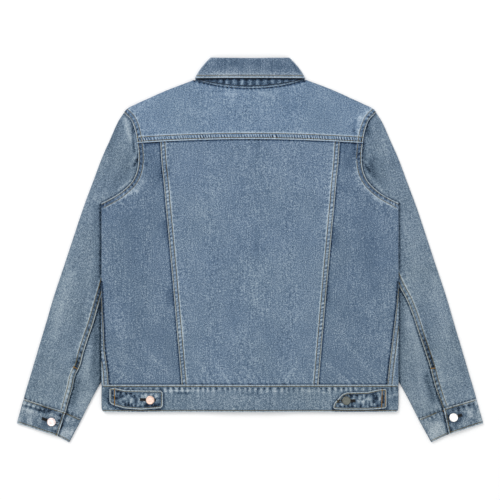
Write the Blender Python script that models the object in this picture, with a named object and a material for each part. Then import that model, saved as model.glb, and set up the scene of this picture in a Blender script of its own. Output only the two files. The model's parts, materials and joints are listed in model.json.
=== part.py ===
"""A denim jacket that lies flat on its front, with its back up.

The collar points to +Y and the hem to -Y, and Z is 0 on the floor. Each piece of cloth is a
wall between an outer grid of points and an inner one. The sizes below are in millimetres, and
become metres when a mesh is made. A side is +1 for the wearer's right and -1 for the left,
and the shapes of a side are worked out for the right and then turned over.
"""

import math
from collections import namedtuple

import bmesh
import bpy
import numpy as np

MM = 0.001
RIGHT = 1
LEFT = -1
SIDES = {"left": LEFT, "right": RIGHT}

# Cloth, seams and the room between layers
CLOTH = 1.4
DOUBLE_CLOTH = 2.2
TAB_CLOTH = 2.0
GAP = 0.3
HALF_GAP = GAP / 2
FELL_WIDTH = 9.5
FELL_RISE = 0.8
FELL_SLOPE = 2.0

# Levels and widths of the body
HALF_WIDTH = 296.5
BAND_TOP_Y = -269.0
ARMPIT_Y = 93.0
SHOULDER_Y = 274.4
NECK_Y = 323.0
NECK_RISE = 16.0
NECK_HALF_WIDTH = 112.0
YOKE_CENTRE_Y = 221.4
YOKE_DROP = 7.8
YOKE_HALF_WIDTH = 225.2
FRONT_LAP = 20.0
FRONT_NECK_Y = 250.0
SHOULDER_STRETCH = 2.36

# Heights of the layers over the floor
SLEEVE_TOP = 5.0
SLEEVE_CROWN = 1.6
BACK_TOP = 6.7
BAND_TOP = 7.3
CENTRE_LIFT = 4.6
BAND_LIFT = 2.9
SLEEVE_LIFT = SLEEVE_TOP + 1.6 * GAP
SEAM_LIFT = CLOTH + GAP
COLLAR_LIFT = DOUBLE_CLOTH + GAP
BACK_OVER_CENTRE = 2.9
BAND_OVER_CENTRE = 2.8
BACK_OVER_SLEEVE = 2.5
BACK_OVER_COLLAR = 0.6
CENTRE_FLAT = 24.0
CENTRE_FALL = 108.0

# How far beside a layer the ones over it start to come down, and where they are down
SLEEVE_NEAR = 1.5
SLEEVE_FAR = 26.0
ARMHOLE_NEAR = 15.0
ARMHOLE_FAR = 45.0
COLLAR_NEAR = 4.0
COLLAR_FAR = 30.0

# Where the crown and the folds of a sleeve begin, beside the body, the outer fold and the cuff
CROWN_START = 10.0
CROWN_REACH = 35.0
RIDGE_START = 9.0
RIDGE_REACH = 14.0
RIDGE_EDGE = 15.0
CUFF_CALM_Y = -285.0
CUFF_CALM = 40.0

# Turning radii
SLEEVE_RADIUS = SLEEVE_TOP / 2
ROLL_RADIUS = 2.6

# The collar
FALL_EDGE_Y = 343.0
ROLL_Y = 384.0
ROLL_DIP = 1.2
STAND_ROLL_Y = 380.5
FOLD_NORMAL = np.array([0.798, 0.603])

# Buttons
CAP_HEIGHT = 2.6
CAP_SIDES = 16
FRONT_BUTTON_TOP_Y = 228.0
FRONT_BUTTON_BAND_Y = -296.0
FRONT_BUTTONS = 6

# Laps of the cuffs and of the waistband
CUFF_TOP = 5.0
CUFF_LAP = 22.0
CUFF_LAP_RISE = DOUBLE_CLOTH + GAP

Point = namedtuple("Point", "x y")
Level = namedtuple("Level", "y x")
Section = namedtuple("Section", "outer_x outer_y inner_x inner_y")
Cuff = namedtuple("Cuff", "outer_top outer_hem flap_top flap_hem inner_top inner_hem")
Fold = namedtuple("Fold", "x0 y0 x1 y1 width rise")
TabLevel = namedtuple("TabLevel", "x top hem")
Ring = namedtuple("Ring", "radius height")

# The armhole seam, from the shoulder down to the armpit
ARMHOLE = (
    Level(y=274.4, x=251.6),
    Level(y=261.4, x=238.6),
    Level(y=245.4, x=231.4),
    Level(y=228.4, x=227.0),
    Level(y=215.0, x=225.2),
    Level(y=200.0, x=223.4),
    Level(y=184.0, x=222.4),
    Level(y=168.0, x=223.4),
    Level(y=153.0, x=227.0),
    Level(y=137.0, x=235.0),
    Level(y=123.0, x=248.0),
    Level(y=110.0, x=265.0),
    Level(y=100.0, x=283.0),
    Level(y=93.0, x=296.5),
)
# The fold along the shoulder, from the collar out
SHOULDER = (
    Level(y=339.0, x=113.5),
    Level(y=327.0, x=146.0),
    Level(y=315.0, x=176.0),
    Level(y=303.0, x=202.0),
    Level(y=291.0, x=228.0),
    Level(y=279.0, x=248.0),
    Level(y=274.4, x=251.6),
)
# The neckline of the fronts, from the centre out
NECKLINE = (
    Level(y=250.0, x=20.0),
    Level(y=255.0, x=38.0),
    Level(y=265.0, x=60.0),
    Level(y=280.0, x=80.0),
    Level(y=300.0, x=96.0),
    Level(y=320.0, x=106.0),
    Level(y=339.0, x=112.0),
)
# The seam between the centre panel and a side panel
PRINCESS = (
    Level(y=222.0, x=174.5),
    Level(y=176.0, x=171.6),
    Level(y=134.0, x=167.2),
    Level(y=92.0, x=163.6),
    Level(y=50.0, x=159.6),
    Level(y=-5.0, x=154.6),
    Level(y=-269.0, x=131.6),
)
# How far the fronts come round on to the back, as the half width where they end
SIDE_SEAM_LEFT = (
    Level(y=-60.0, x=296.5),
    Level(y=-90.0, x=295.0),
    Level(y=-148.0, x=292.0),
    Level(y=-206.0, x=289.0),
    Level(y=-239.0, x=284.0),
    Level(y=-269.0, x=282.0),
)
SIDE_SEAM_RIGHT = (
    Level(y=-55.0, x=296.5),
    Level(y=-73.0, x=295.0),
    Level(y=-115.0, x=291.6),
    Level(y=-156.0, x=286.6),
    Level(y=-198.0, x=281.6),
    Level(y=-231.0, x=277.4),
    Level(y=-269.0, x=274.0),
)
SIDE_SEAM = {LEFT: SIDE_SEAM_LEFT, RIGHT: SIDE_SEAM_RIGHT}
# The rounded lower corners of the waistband
BAND_SIDE = (
    Level(y=-269.0, x=296.5),
    Level(y=-312.0, x=296.5),
    Level(y=-317.0, x=296.2),
    Level(y=-320.5, x=295.0),
    Level(y=-323.0, x=292.5),
)
# The fold at the side of the collar, from the free edge up to the roll
COLLAR_SIDE = (
    Level(y=343.0, x=110.0),
    Level(y=351.0, x=106.0),
    Level(y=363.0, x=98.0),
    Level(y=375.0, x=88.0),
    Level(y=384.0, x=79.0),
)
COLLAR_POINT = Point(x=84.0, y=260.0)
COLLAR_FRONT = Point(x=16.0, y=288.0)
STAND_FRONT = Point(x=18.0, y=288.0)
STAND_SIDE_LOW = Point(x=109.5, y=338.8)
STAND_SIDE_HIGH = Point(x=75.5, y=380.5)

# Sleeve sections from the armhole to the cuff: the outer fold and the inner one, below the body
SLEEVE = (
    Section(outer_x=251.6, outer_y=274.4, inner_x=188.0, inner_y=182.0),
    Section(outer_x=264.0, outer_y=255.0, inner_x=195.0, inner_y=164.0),
    Section(outer_x=280.0, outer_y=219.0, inner_x=203.0, inner_y=140.0),
    Section(outer_x=296.0, outer_y=183.0, inner_x=210.0, inner_y=112.0),
    Section(outer_x=314.0, outer_y=135.0, inner_x=215.5, inner_y=77.0),
    Section(outer_x=332.0, outer_y=87.0, inner_x=219.5, inner_y=32.0),
    Section(outer_x=350.5, outer_y=32.0, inner_x=222.0, inner_y=-15.0),
    Section(outer_x=371.0, outer_y=-30.0, inner_x=222.5, inner_y=-62.0),
    Section(outer_x=392.0, outer_y=-93.0, inner_x=227.0, inner_y=-108.0),
    Section(outer_x=406.0, outer_y=-141.0, inner_x=237.0, inner_y=-150.0),
    Section(outer_x=424.0, outer_y=-201.0, inner_x=258.0, inner_y=-200.0),
    Section(outer_x=437.0, outer_y=-245.0, inner_x=284.0, inner_y=-242.0),
    Section(outer_x=444.5, outer_y=-270.0, inner_x=302.0, inner_y=-271.5),
    Section(outer_x=449.5, outer_y=-287.0, inner_x=317.5, inner_y=-300.0),
    Section(outer_x=452.0, outer_y=-296.5, inner_x=336.0, inner_y=-336.5),
)
SLEEVE_START_Y = SLEEVE[0].inner_y
# The elbow seam, which runs in under the body near y -90 and round the inner fold above
ELBOW_LEFT = (
    Level(y=-326.0, x=368.5),
    Level(y=-299.0, x=361.5),
    Level(y=-277.0, x=355.0),
    Level(y=-247.0, x=347.5),
    Level(y=-237.0, x=342.0),
    Level(y=-203.0, x=332.0),
    Level(y=-178.0, x=324.0),
    Level(y=-149.0, x=314.0),
    Level(y=-118.0, x=305.0),
    Level(y=-90.0, x=297.0),
    Level(y=-46.0, x=284.0),
    Level(y=0.0, x=268.0),
    Level(y=40.0, x=250.0),
    Level(y=75.0, x=230.0),
    Level(y=105.0, x=204.0),
)
ELBOW_RIGHT = (
    Level(y=-320.0, x=387.0),
    Level(y=-300.0, x=379.0),
    Level(y=-259.0, x=366.0),
    Level(y=-236.0, x=360.0),
    Level(y=-199.0, x=348.0),
    Level(y=-164.0, x=336.0),
    Level(y=-133.0, x=326.0),
    Level(y=-100.0, x=313.0),
    Level(y=-70.0, x=297.0),
    Level(y=-30.0, x=281.0),
    Level(y=10.0, x=264.0),
    Level(y=45.0, x=247.0),
    Level(y=78.0, x=228.0),
    Level(y=105.0, x=204.0),
)
ELBOW = {LEFT: ELBOW_LEFT, RIGHT: ELBOW_RIGHT}
ELBOW_BELOW = 1.08
FRONT_SEAM_SHARE = 0.66
ARMHOLE_SECTIONS = 7.0
CUFF_SEAM_BOW = {LEFT: 3.2, RIGHT: 3.9}

CUFFS = {
    LEFT: Cuff(
        outer_top=Point(452.3, -297.3),
        outer_hem=Point(466.0, -346.0),
        flap_top=Point(368.2, -323.0),
        flap_hem=Point(384.0, -371.5),
        inner_top=Point(336.3, -337.5),
        inner_hem=Point(361.0, -384.0),
    ),
    RIGHT: Cuff(
        outer_top=Point(452.3, -297.3),
        outer_hem=Point(466.0, -346.0),
        flap_top=Point(386.2, -316.0),
        flap_hem=Point(397.0, -367.5),
        inner_top=Point(336.3, -337.5),
        inner_hem=Point(362.0, -384.0),
    ),
}
TABS = {
    LEFT: (
        TabLevel(x=280.0, top=-277.0, hem=-303.0),
        TabLevel(x=276.0, top=-275.5, hem=-307.0),
        TabLevel(x=266.0, top=-276.0, hem=-311.0),
        TabLevel(x=250.0, top=-279.5, hem=-315.5),
        TabLevel(x=218.0, top=-280.0, hem=-318.0),
        TabLevel(x=178.0, top=-280.5, hem=-315.0),
        TabLevel(x=174.0, top=-284.0, hem=-311.0),
    ),
    RIGHT: (
        TabLevel(x=272.0, top=-279.0, hem=-313.0),
        TabLevel(x=269.0, top=-277.0, hem=-315.5),
        TabLevel(x=254.0, top=-278.5, hem=-317.0),
        TabLevel(x=235.0, top=-283.0, hem=-318.0),
        TabLevel(x=193.0, top=-284.0, hem=-318.0),
        TabLevel(x=184.0, top=-287.5, hem=-318.0),
        TabLevel(x=176.0, top=-296.5, hem=-317.5),
        TabLevel(x=169.0, top=-304.0, hem=-317.0),
        TabLevel(x=166.5, top=-310.0, hem=-315.0),
    ),
}
TAB_BUTTONS = {LEFT: Point(199.0, -299.0), RIGHT: Point(192.0, -300.0)}
CUFF_BUTTONS = {LEFT: Point(396.0, -343.0), RIGHT: Point(406.0, -334.0)}
CAP_PROFILE = (
    Ring(radius=4.0, height=2.1),
    Ring(radius=6.2, height=2.2),
    Ring(radius=7.2, height=2.6),
    Ring(radius=8.2, height=2.4),
    Ring(radius=8.75, height=1.5),
    Ring(radius=8.4, height=0.4),
    Ring(radius=6.5, height=0.0),
)

# The largest folds of the back and of the sleeves, with x as the signed place on the jacket
BODY_FOLDS = (
    Fold(x0=236, y0=272, x1=206, y1=250, width=11, rise=1.6),
    Fold(x0=-236, y0=252, x1=-214, y1=236, width=9, rise=0.8),
    Fold(x0=-176, y0=196, x1=-172, y1=150, width=16, rise=1.0),
    Fold(x0=-164, y0=96, x1=-160, y1=60, width=15, rise=0.9),
    Fold(x0=-144, y0=-130, x1=-138, y1=-170, width=15, rise=1.0),
    Fold(x0=170, y0=160, x1=166, y1=120, width=15, rise=0.9),
    Fold(x0=158, y0=30, x1=154, y1=-10, width=15, rise=0.9),
    Fold(x0=-258, y0=84, x1=-214, y1=112, width=14, rise=1.0),
    Fold(x0=262, y0=88, x1=222, y1=114, width=14, rise=0.9),
)
SLEEVE_FOLDS = (
    Fold(x0=-246, y0=252, x1=-238, y1=206, width=8, rise=1.6),
    Fold(x0=246, y0=246, x1=240, y1=210, width=8, rise=1.3),
    Fold(x0=-240, y0=176, x1=-262, y1=156, width=9, rise=1.3),
    Fold(x0=238, y0=174, x1=262, y1=154, width=9, rise=1.3),
    Fold(x0=-330, y0=40, x1=-366, y1=-110, width=20, rise=1.3),
    Fold(x0=338, y0=30, x1=376, y1=-120, width=20, rise=1.1),
    Fold(x0=-338, y0=-190, x1=-352, y1=-218, width=8, rise=1.5),
    Fold(x0=358, y0=-196, x1=372, y1=-226, width=8, rise=1.5),
    Fold(x0=-384, y0=-170, x1=-404, y1=-240, width=14, rise=1.1),
    Fold(x0=392, y0=-160, x1=414, y1=-232, width=14, rise=1.0),
)


def smooth(part):
    part = np.clip(part, 0.0, 1.0)
    return part * part * (3 - 2 * part)


def fade(distance, near, far):
    """1 up to the near distance, then down to 0 at the far one."""
    return 1 - smooth((distance - near) / (far - near))


def blend(first, second, part):
    return first + (second - first) * part


def curve(keys, values, at):
    """Smooth curve through the values at ascending keys, held at its ends."""
    keys = np.asarray(keys, float)
    values = np.asarray(values, float)
    at = np.clip(at, keys[0], keys[-1])
    slopes = np.gradient(values, keys)
    low = np.clip(np.searchsorted(keys, at, side="right") - 1, 0, len(keys) - 2)
    step = keys[low + 1] - keys[low]
    part = (at - keys[low]) / step
    rest = 1 - part
    return (
        values[low] * (1 + 2 * part) * rest**2
        + slopes[low] * step * part * rest**2
        + values[low + 1] * part**2 * (3 - 2 * part)
        - slopes[low + 1] * step * part**2 * rest
    )


def at_level(table, y):
    """The half width that a table gives at a level."""
    rows = sorted(table)
    return curve([row.y for row in rows], [row.x for row in rows], y)


def distance_to(line, x, y):
    """Distance in plan to a line through points."""
    nearest = np.full(np.broadcast(x, y).shape, 1e6)
    for start, end in zip(line, line[1:]):
        step_x = end.x - start.x
        step_y = end.y - start.y
        along = ((x - start.x) * step_x + (y - start.y) * step_y) / (step_x**2 + step_y**2)
        along = np.clip(along, 0, 1)
        apart = np.hypot(x - start.x - along * step_x, y - start.y - along * step_y)
        nearest = np.minimum(nearest, apart)
    return nearest


def folds(table, x, y):
    """Soft ridges along the lines of a table, which die out at their ends."""
    height = 0.0
    for fold in table:
        step = np.array([fold.x1 - fold.x0, fold.y1 - fold.y0])
        length = np.hypot(*step)
        along = ((x - fold.x0) * step[0] + (y - fold.y0) * step[1]) / length
        across = ((x - fold.x0) * step[1] - (y - fold.y0) * step[0]) / length
        beyond = np.maximum(np.maximum(-along, along - length), 0)
        height = height + fold.rise * np.exp(-((across**2 + beyond**2) / fold.width**2))
    return height


# Heights of the layers


INNER_EDGE = tuple(Level(y=section.inner_y, x=section.inner_x) for section in SLEEVE)
OUTER_EDGE = tuple(Level(y=section.outer_y, x=section.outer_x) for section in SLEEVE)


def over_sleeve(x, y):
    """1 where the body lies on a sleeve, falling to 0 beside it."""
    outside = (np.abs(x) < at_level(INNER_EDGE, y)) | (y > SLEEVE_START_Y)
    apart = np.where(outside, distance_to(INNER_EDGE, np.abs(x), y), 0)
    return fade(apart, SLEEVE_NEAR, SLEEVE_FAR)


def over_collar(x, y):
    """1 where the fronts lie on the leaves of the collar."""
    low = COLLAR_POINT
    high = COLLAR_SIDE[0]
    side = (np.abs(x) - low.x) * (high.y - low.y) - (y - low.y) * (high.x - low.x)
    front = -(np.abs(x) - low.x) * (COLLAR_FRONT.y - low.y) - (y - low.y) * (low.x - COLLAR_FRONT.x)
    beyond_side = side / np.hypot(high.y - low.y, high.x - low.x)
    beyond_front = front / np.hypot(COLLAR_FRONT.y - low.y, low.x - COLLAR_FRONT.x)
    return fade(np.maximum(beyond_side, beyond_front), COLLAR_NEAR, COLLAR_FAR)


def over_centre(x):
    return fade(np.abs(x), CENTRE_FLAT, CENTRE_FALL)


def highest(*heights):
    """The highest of several heights, with soft passages between them."""
    return sum(height**4 for height in heights) ** 0.25


def front_face(x, y):
    """Height of the outer face of the fronts, which is their lower side."""
    armhole = SEAM_LIFT * fade(distance_to(ARMHOLE, np.abs(x), y), ARMHOLE_NEAR, ARMHOLE_FAR)
    collar = COLLAR_LIFT * over_collar(x, y)
    return highest(CENTRE_LIFT * over_centre(x), SLEEVE_LIFT * over_sleeve(x, y), armhole, collar)


def back_face(x, y):
    """Height of the outer face of the back, which is its upper side."""
    height = BACK_TOP + BACK_OVER_CENTRE * over_centre(x) + BACK_OVER_SLEEVE * over_sleeve(x, y)
    return height + BACK_OVER_COLLAR * over_collar(x, y)


def band_under(x):
    return BAND_LIFT * over_centre(x)


def band_upper(x):
    return BAND_TOP + BAND_OVER_CENTRE * over_centre(x)


def beside_body(x, y):
    """How far a point of a sleeve lies outside the edge of the body."""
    return x - np.where(y > ARMPIT_Y, at_level(ARMHOLE, y), HALF_WIDTH)


def sleeve_face(x, y, side):
    """Height of the upper face of a sleeve: flat below the body, and slightly crowned outside."""
    from_body = beside_body(x, y)
    from_edge = at_level(OUTER_EDGE, y) - x
    from_cuff = smooth((y - CUFF_CALM_Y) / CUFF_CALM)
    crown = SLEEVE_CROWN * smooth((from_body - CROWN_START) / CROWN_REACH) * smooth(from_edge / CROWN_REACH)
    ridges = folds(SLEEVE_FOLDS, x * side, y) * smooth((from_body - RIDGE_START) / RIDGE_REACH)
    return SLEEVE_TOP + (crown + ridges * smooth(from_edge / RIDGE_EDGE)) * from_cuff


# Grids


def spread(length, first, last, between):
    """Places along lines of the given lengths: as listed near both ends, even between them."""
    length = np.asarray(length, float)[..., None]
    first = np.array(first, float)
    last = np.array(last, float)
    part = np.linspace(0, 1, between + 2)[1:-1]
    middle = first[-1] + (length - first[-1] - last[0]) * part
    shape = length.shape[:-1] + (len(first),)
    return np.concatenate([np.broadcast_to(first, shape), middle, length - last], axis=-1)


def grid_of(x, y, z):
    return np.stack(np.broadcast_arrays(x, y, z), axis=-1).astype(float)


def outward(grid, last_up):
    """Unit normals of a grid of points, which at its last column point up or down."""
    along = np.gradient(grid, axis=0)
    across = np.gradient(grid, axis=1)
    normal = np.cross(across, along)
    normal = normal / np.linalg.norm(normal, axis=2, keepdims=True)
    return normal if (normal[:, -1, 2].mean() > 0) == last_up else -normal


# Making objects


def new_look(name, colour, roughness=0.9, metallic=0.0):
    """One plain colour: matte cotton, or the plated metal of a button."""
    look = bpy.data.materials.new(name)
    look.use_nodes = True
    shader = look.node_tree.nodes["Principled BSDF"]
    shader.inputs["Base Color"].default_value = (*colour, 1)
    shader.inputs["Roughness"].default_value = roughness
    shader.inputs["Metallic"].default_value = metallic
    return look


def add_mesh(name, points, faces, look, smooth_angle=40):
    mesh = bpy.data.meshes.new(name)
    mesh.from_pydata((np.asarray(points) * MM).tolist(), [], faces)
    shape = bmesh.new()
    shape.from_mesh(mesh)
    bmesh.ops.recalc_face_normals(shape, faces=shape.faces)
    shape.to_mesh(mesh)
    shape.free()
    mesh.materials.append(look)
    mesh.shade_smooth()
    mesh.set_sharp_from_angle(angle=math.radians(smooth_angle))
    made = bpy.data.objects.new(name, mesh)
    bpy.context.collection.objects.link(made)
    return made


def add_wall(name, outer, inner, look):
    """Closed solid between an outer and an inner grid of points."""
    rows, columns = outer.shape[:2]
    count = rows * columns
    points = np.concatenate([outer.reshape(-1, 3), inner.reshape(-1, 3)])
    faces = []
    for row in range(rows - 1):
        for column in range(columns - 1):
            corner = row * columns + column
            face = (corner, corner + 1, corner + columns + 1, corner + columns)
            faces.append(face)
            faces.append(tuple(point + count for point in reversed(face)))
    rim = [column for column in range(columns)]
    rim += [row * columns + columns - 1 for row in range(1, rows)]
    rim += [(rows - 1) * columns + column for column in range(columns - 2, -1, -1)]
    rim += [row * columns for row in range(rows - 2, 0, -1)]
    for here, there in zip(rim, rim[1:] + rim[:1]):
        faces.append((there, here, here + count, there + count))
    return add_mesh(name, points, faces, look)


def add_cloth(name, face, look, side=RIGHT, last_up=True, thickness=CLOTH, rise=0.0):
    """A wall of cloth inside its outer face, with that face raised where the seams are felled."""
    normal = outward(face, last_up)
    rise = np.broadcast_to(rise, face.shape[:2])[..., None]
    turned_over = np.array([side, 1, 1])
    outer = (face + normal * rise) * turned_over
    inner = (face - normal * thickness) * turned_over
    return add_wall(name, outer, inner, look)


# Body


def yoke_edge(x):
    """The lower edge of the yoke."""
    return YOKE_CENTRE_Y - YOKE_DROP * (x / YOKE_HALF_WIDTH) ** 2


def yoke_top(x):
    """The neck seam and the two shoulder folds, as one line over x."""
    x = np.abs(x)
    neck = NECK_Y + NECK_RISE * (x / NECK_HALF_WIDTH) ** 2
    rows = sorted(SHOULDER, key=lambda level: level.x)
    shoulder = curve([row.x for row in rows], [row.y for row in rows], x)
    return np.where(x <= NECK_HALF_WIDTH, neck, shoulder)


def armhole_fell(x, y):
    return FELL_RISE * fade(distance_to(ARMHOLE, np.abs(x), y), FELL_WIDTH, FELL_WIDTH + FELL_SLOPE)


YOKE_COLUMNS = (0, 24, 48, 72, 92, 104, 112, 117, 130, 155, 180, 205, 224, 239, 241, 251.6)
YOKE_FELL = (0, 11.5, 13.5)
YOKE_TURN = 70
YOKE_TURN_ROOM = 4.0
YOKE_FLAT_STEP = 0.8
TURN_STEPS = 3


def make_yoke(look):
    half = np.array(YOKE_COLUMNS, float)
    top_x = np.concatenate([-half[:0:-1], half])
    share = top_x / half[-1]
    low_y = yoke_edge(share * YOKE_HALF_WIDTH)
    high_y = yoke_top(top_x)
    up = spread(high_y - low_y - YOKE_TURN_ROOM, YOKE_FELL, (0,), 4)
    level_y = low_y[-1] + up[-1]
    y = (low_y[:, None] + up).T
    x = share * at_level(ARMHOLE, level_y)[:, None]
    z = back_face(x, y) + folds(BODY_FOLDS, x, y)
    fold_share = smooth((np.abs(top_x) - NECK_HALF_WIDTH) / 6)
    radius = (back_face(top_x, high_y) - front_face(top_x, high_y)) / 2
    rows = [grid_of(x, y, z)]
    for step in range(TURN_STEPS + 1):
        angle = math.radians(YOKE_TURN) * step / TURN_STEPS
        level = high_y[-1] - YOKE_TURN_ROOM * (TURN_STEPS - step) / (TURN_STEPS + 1)
        turned_y = high_y - 1.1 * radius * (1 - math.sin(angle))
        flat_y = high_y - YOKE_FLAT_STEP * (TURN_STEPS - step)
        turned_z = -radius * (1 - math.cos(angle))
        row_y = blend(flat_y, turned_y, fold_share)
        row_x = share * at_level(ARMHOLE, level)
        row_z = back_face(row_x, row_y) + folds(BODY_FOLDS, row_x, row_y) + turned_z * fold_share
        rows.append(grid_of(row_x, row_y, row_z)[None])
    face = np.concatenate(rows)
    lower_fell = FELL_RISE * fade(face[..., 1] - yoke_edge(face[..., 0]), *YOKE_FELL[1:])
    rise = np.maximum(lower_fell, armhole_fell(face[..., 0], face[..., 1]))
    add_cloth("back_yoke", face, look, rise=rise)


def panel_levels(top_y, levels):
    """Levels of a table stretched so that the last one is the given height of the yoke seam."""
    levels = np.array(levels, float)
    share = (levels - levels[0]) / (levels[-1] - levels[0])
    low = BAND_TOP_Y + GAP
    return low + (top_y - GAP - low) * share


CENTRE_LEVELS = (
    -268.7, -255, -230, -195, -160, -125, -90, -55, -20, 15, 50, 80, 105, 130, 150, 170, 190, 206, 217,
)
CENTRE_FELL = (0, FELL_WIDTH, FELL_WIDTH + FELL_SLOPE)


def princess_cut(y):
    """The cut edge of the centre panel, which is folded over the side panel."""
    return at_level(PRINCESS, y) + FELL_WIDTH / 2


def make_centre_panel(look):
    guess = panel_levels(yoke_edge(170.0), CENTRE_LEVELS)
    half = princess_cut(guess)
    across = spread(2 * half, CENTRE_FELL, CENTRE_FELL[::-1], 9)
    x = across - half[:, None]
    share = ((guess - guess[0]) / (guess[-1] - guess[0]))[:, None]
    y = guess[0] + (yoke_edge(x) - GAP - guess[0]) * share
    z = back_face(x, y) + folds(BODY_FOLDS, x, y)
    from_edge = np.minimum(across, 2 * half[:, None] - across)
    rise = FELL_RISE * fade(from_edge, FELL_WIDTH, FELL_WIDTH + FELL_SLOPE)
    add_cloth("back_centre_panel", grid_of(x, y, z), look, rise=rise)


FOLD_INSET = 2.8
FOLD_ENTRY = 1.5


def side_fold(extreme, y, on_shoulder=0.0):
    """Height of the middle and the radius of the body's fold, and a quarter turn round it."""
    inside = extreme - FOLD_INSET * (1 - on_shoulder)
    upper = back_face(inside, y)
    lower = front_face(inside, y)
    radius = (upper - lower) / 2
    return (upper + lower) / 2, radius, radius * math.pi / 2


def side_seam_path(y, side):
    """Where the seam between front and back runs, as a path round the side fold, up to the back."""
    radius = side_fold(HALF_WIDTH, y)[1]
    reach = HALF_WIDTH - at_level(SIDE_SEAM[side], y)
    return radius * math.pi / 2 * smooth(reach / FOLD_ENTRY) + np.maximum(reach - radius, 0)


SIDE_SEAM_ROOM = 0.75
SEAM_ROOM = 0.25
LEAST_TURN = 0.3


def room_beside(seam):
    """Room between a piece and the side seam, which is wider where the seam runs on the fold."""
    return blend(SIDE_SEAM_ROOM, SEAM_ROOM, smooth((seam - 1) / 3))


def falling(places, least):
    """Falling places with at least the given step between them, kept above the last one."""
    places = np.concatenate(places, axis=1)
    count = places.shape[1]
    for column in range(1, count - 1):
        room = places[:, -1] + least * (count - 1 - column)
        below = np.minimum(places[:, column], places[:, column - 1] - least)
        places[:, column] = np.maximum(below, room)
    return places


SIDE_LEVELS = (
    -268.7, -240, -206, -172, -138, -108, -88, -72, -56, -10, 40, 80, 93, 96, 100, 107, 118, 132, 148,
    164, 182, 200, 213.6,
)
TURNS = np.array([0.0, 0.33, 0.66, 1.0])
ARMPIT_PASSAGE = 4.0
FLAT_INSET = 12.0
OVER_SLEEVE = np.array([0, 9, 18, 27])
PRINCESS_INSET = 14.0
SIDE_STEP = 0.6


def make_side_panel(name, side, look):
    outer_y = panel_levels(yoke_edge(YOKE_HALF_WIDTH), SIDE_LEVELS)
    inner_y = panel_levels(yoke_edge(178.0), SIDE_LEVELS)
    in_armhole = smooth((outer_y - ARMPIT_Y) / ARMPIT_PASSAGE)
    armhole_x = at_level(ARMHOLE, outer_y)
    middle, radius, quarter = side_fold(HALF_WIDTH, outer_y)
    seam = side_seam_path(outer_y, side)
    start = blend(seam + room_beside(seam), quarter, in_armhole)
    extreme = blend(HALF_WIDTH, armhole_x + radius, in_armhole)
    turn = np.maximum(quarter[:, None] * TURNS, start[:, None] + LEAST_TURN * np.arange(len(TURNS)))
    beyond = np.maximum(turn - quarter[:, None], 0)
    angle = np.minimum(turn / radius[:, None], math.pi / 2)
    turn_x = extreme[:, None] - radius[:, None] * (1 - np.cos(angle)) - beyond
    inner_x = princess_cut(inner_y) + GAP
    last = turn_x[:, -1:]
    sleeve = np.minimum(at_level(INNER_EDGE, outer_y)[:, None], last - FLAT_INSET)
    beside = [last, last - FELL_WIDTH, last - FELL_WIDTH - FELL_SLOPE, blend(last - FLAT_INSET, sleeve, 0.5)]
    inner_x = inner_x[:, None]
    flat_x = falling([*beside, sleeve - OVER_SLEEVE, inner_x + PRINCESS_INSET, inner_x], SIDE_STEP)
    x = np.concatenate([turn_x, flat_x[:, 1:]], axis=1)
    share = (x[:, :1] - x) / (x[:, :1] - inner_x)
    y = blend(outer_y[:, None], inner_y[:, None], share)
    turned = middle[:, None] + radius[:, None] * np.sin(angle)
    on_fold = np.zeros_like(x, bool)
    on_fold[:, : len(TURNS)] = turn < quarter[:, None] - 0.01
    turned = np.concatenate([turned, np.zeros_like(flat_x[:, 1:])], axis=1)
    ridges = folds(BODY_FOLDS, x * side, y) * smooth((x[:, :1] - x) / FLAT_INSET)
    z = np.where(on_fold, turned, back_face(x, y) + ridges)
    rise = armhole_fell(x, y) * in_armhole[:, None]
    add_cloth(name, grid_of(x, y, z), look, side, rise=rise)


FRONT_LEVELS = (
    -268.7, -240, -206, -172, -138, -108, -88, -72, -56, -10, 40, 80, 93, 96, 100, 107, 118, 132, 148,
    164, 180, 194, 208, 228, 246, 250.2, 257, 264, 269.5, 274.4, 284, 300, 318, 332,
)
FRONT_TURNS = np.array([1.0, 0.5, 0.0, -0.33, -0.66, -1.0])
FRONT_STEP = 0.5
FRONT_INSET = 5.0
FRONT_INSET_PASSAGE = 20.0
CORNER_INSET = 32.0
CORNER_TOP_Y = 214.0
CORNER_LOW_Y = 140.0
CORNER_PASSAGE = 26.0
SHOULDER_START_Y = 269.0
SHOULDER_PASSAGE = 5.0
SHOULDER_ROOM = 1.3
UNDER_SLEEVE = np.array([1.8, 8, 14, 20, 27])
CENTRE_COLUMNS = np.array([CENTRE_FALL, 80, 50, 34, 21])
NECK_PARTS = np.linspace(0.5, 0.1, len(CENTRE_COLUMNS))
FLAT_PATH = -1000.0


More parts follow.
